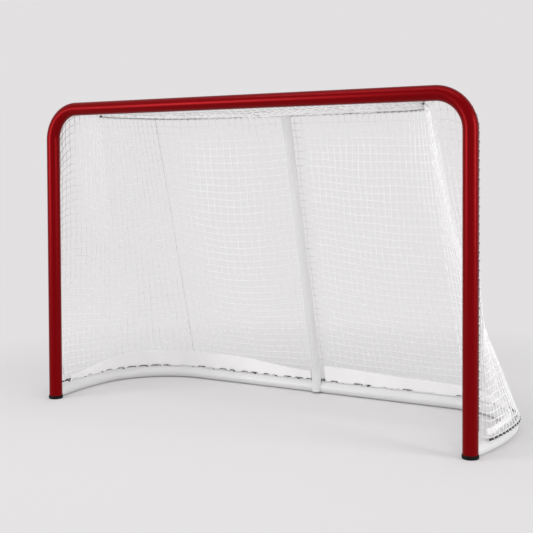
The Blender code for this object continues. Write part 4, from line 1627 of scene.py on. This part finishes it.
@dataclass(frozen=True)
class Softbox:
    """A soft rectangular lamp, in metres and watts."""

    name: str
    spot: Triple
    target: Triple
    width: float
    height: float
    power: float

    def build(self) -> None:
        """Hangs the lamp and turns it to its target."""
        light = bpy.data.lights.new(self.name, "AREA")
        light.shape = "RECTANGLE"
        light.size, light.size_y = self.width, self.height
        light.energy = self.power
        lamp = bpy.data.objects.new(self.name, light)
        bpy.context.collection.objects.link(lamp)
        lamp.location = self.spot
        lamp.rotation_euler = (Vector(self.target) - Vector(self.spot)).to_track_quat("-Z", "Y").to_euler()


@dataclass
class Studio:
    """Pale floor, soft lamps and the camera of the photograph."""

    layout: Layout
    lamps: tuple[Softbox, ...] = (
        Softbox("top_softbox", (0.0, -1.5, 4.2), (0.0, 0.0, 0.4), 4.0, 1.0, 48.0),
        Softbox("left_softbox", (-3.6, -5.2, 1.6), (0.0, 0.0, 0.7), 2.4, 2.2, 160.0),
        Softbox("right_softbox", (7.6, -0.5, 2.2), (0.0, 0.0, 0.7), 2.9, 3.6, 280.0),
    )
    world_colour: Triple = (1.0, 0.995, 1.0)
    world_strength: float = 0.60
    background: Triple = (0.765, 0.750, 0.757)
    floor_colour: Triple = (0.74, 0.73, 0.735)
    floor_roughness: float = 0.9
    floor_specular: float = 0.1
    floor_size: float = 60.0
    fade_start: float = 0.8
    fade_end: float = 2.4
    camera_place: Triple = (2.12, -3.25, 0.98)
    yaw: float = 30.04
    pitch: float = 1.55
    roll: float = 0.23
    focal: float = 1007.1
    centre_column: float = 291.0
    centre_row: float = 198.4
    frame: int = 533
    sensor: float = 36.0

    def build(self) -> None:
        """Sets the floor, the world, the lamps and the camera."""
        self.build_world()
        self.build_floor()
        for lamp in self.lamps:
            lamp.build()
        self.build_camera()

    def build_world(self) -> None:
        """Even light from all round, and the photograph's background behind."""
        world = bpy.data.worlds.new("studio")
        bpy.context.scene.world = world
        world.use_nodes = True
        wires = Wiring(world.node_tree)
        light = world.node_tree.nodes["Background"]
        wires.fill(light, {"Color": (*self.world_colour, 1), "Strength": self.world_strength})
        backdrop = wires.add("Background", {"Color": (*self.background, 1)})
        mix = wires.add("MixShader", {0: self.seen(wires), 1: light.outputs[0], 2: backdrop.outputs[0]})
        wires.fill(world.node_tree.nodes["World Output"], {"Surface": mix.outputs[0]})

    def seen(self, wires: Wiring) -> Socket:
        """Whether a ray is the camera's own, a reflection's or one through glass.

        Args:
            wires: The material's or the world's wiring.

        Returns:
            1 if it is, and otherwise 0.
        """
        ray = wires.add("LightPath").outputs
        both = wires.math("MAXIMUM", ray["Is Camera Ray"], ray["Is Glossy Ray"])
        return wires.math("MAXIMUM", both, ray["Is Transmission Ray"])

    def build_floor(self) -> None:
        """A wide floor that takes the shadows near the goal and fades into the backdrop."""
        bm = bmesh.new()
        bmesh.ops.create_grid(bm, x_segments=1, y_segments=1, size=self.floor_size / 2)
        floor = bpy.data.objects.new("studio_floor", finished_mesh(bm, "studio_floor"))
        bpy.context.collection.objects.link(floor)
        made, wires, shader = started("pale_floor")
        wires.fill(shader, {"Base Color": (*self.floor_colour, 1), "Roughness": self.floor_roughness,
                            "Specular IOR Level": self.floor_specular})
        glow = wires.add("Emission", {"Color": (*self.background, 1)})
        spot = wires.add("TexCoord").outputs["Object"]
        away = wires.add("VectorMath", {0: spot}, operation="LENGTH").outputs["Value"]
        fade = wires.math("MULTIPLY", wires.ramp(away, self.fade_start, self.fade_end), self.seen(wires))
        mix = wires.add("MixShader", {0: fade, 1: shader.outputs[0], 2: glow.outputs[0]})
        wires.fill(made.node_tree.nodes["Material Output"], {"Surface": mix.outputs[0]})
        floor.data.materials.append(made)

    def build_camera(self) -> None:
        """The photograph's camera."""
        yaw, pitch, roll = (math.radians(angle) for angle in (self.yaw, self.pitch, self.roll))
        ahead = Vector((-math.sin(yaw) * math.cos(pitch), math.cos(yaw) * math.cos(pitch), -math.sin(pitch)))
        right = Vector((math.cos(yaw), math.sin(yaw), 0))
        down = ahead.cross(right)
        x_axis = math.cos(roll) * right + math.sin(roll) * down
        y_axis = math.sin(roll) * right - math.cos(roll) * down
        data = bpy.data.cameras.new("photo_camera")
        data.sensor_width = self.sensor
        data.lens = self.focal / self.frame * self.sensor
        data.shift_x = (self.frame / 2 - self.centre_column) / self.frame
        data.shift_y = (self.centre_row - self.frame / 2) / self.frame
        camera = bpy.data.objects.new("photo_camera", data)
        bpy.context.collection.objects.link(camera)
        camera.location = Vector(self.camera_place) + BACK * self.layout.front_y
        camera.rotation_euler = Matrix((x_axis, y_axis, -ahead)).transposed().to_euler()
        bpy.context.scene.camera = camera
        bpy.context.scene.view_settings.view_transform = "Standard"


def main() -> None:
    """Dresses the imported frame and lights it."""
    logging.basicConfig(level=logging.INFO, format="%(name)s: %(message)s")
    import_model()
    layout, finishes = Layout(), Finishes()
    TubeFrame(layout, finishes).build()
    FootCaps(layout, finishes).build()
    LacingRods(layout, finishes).build()
    shape = NetShape(layout)
    net = Net(layout, finishes, shape)
    net.build()
    Lacing(layout, finishes, shape, net).build()
    Skirt(layout, finishes, shape).build()
    Studio(layout).build()


if __name__ == "__main__":
    main()
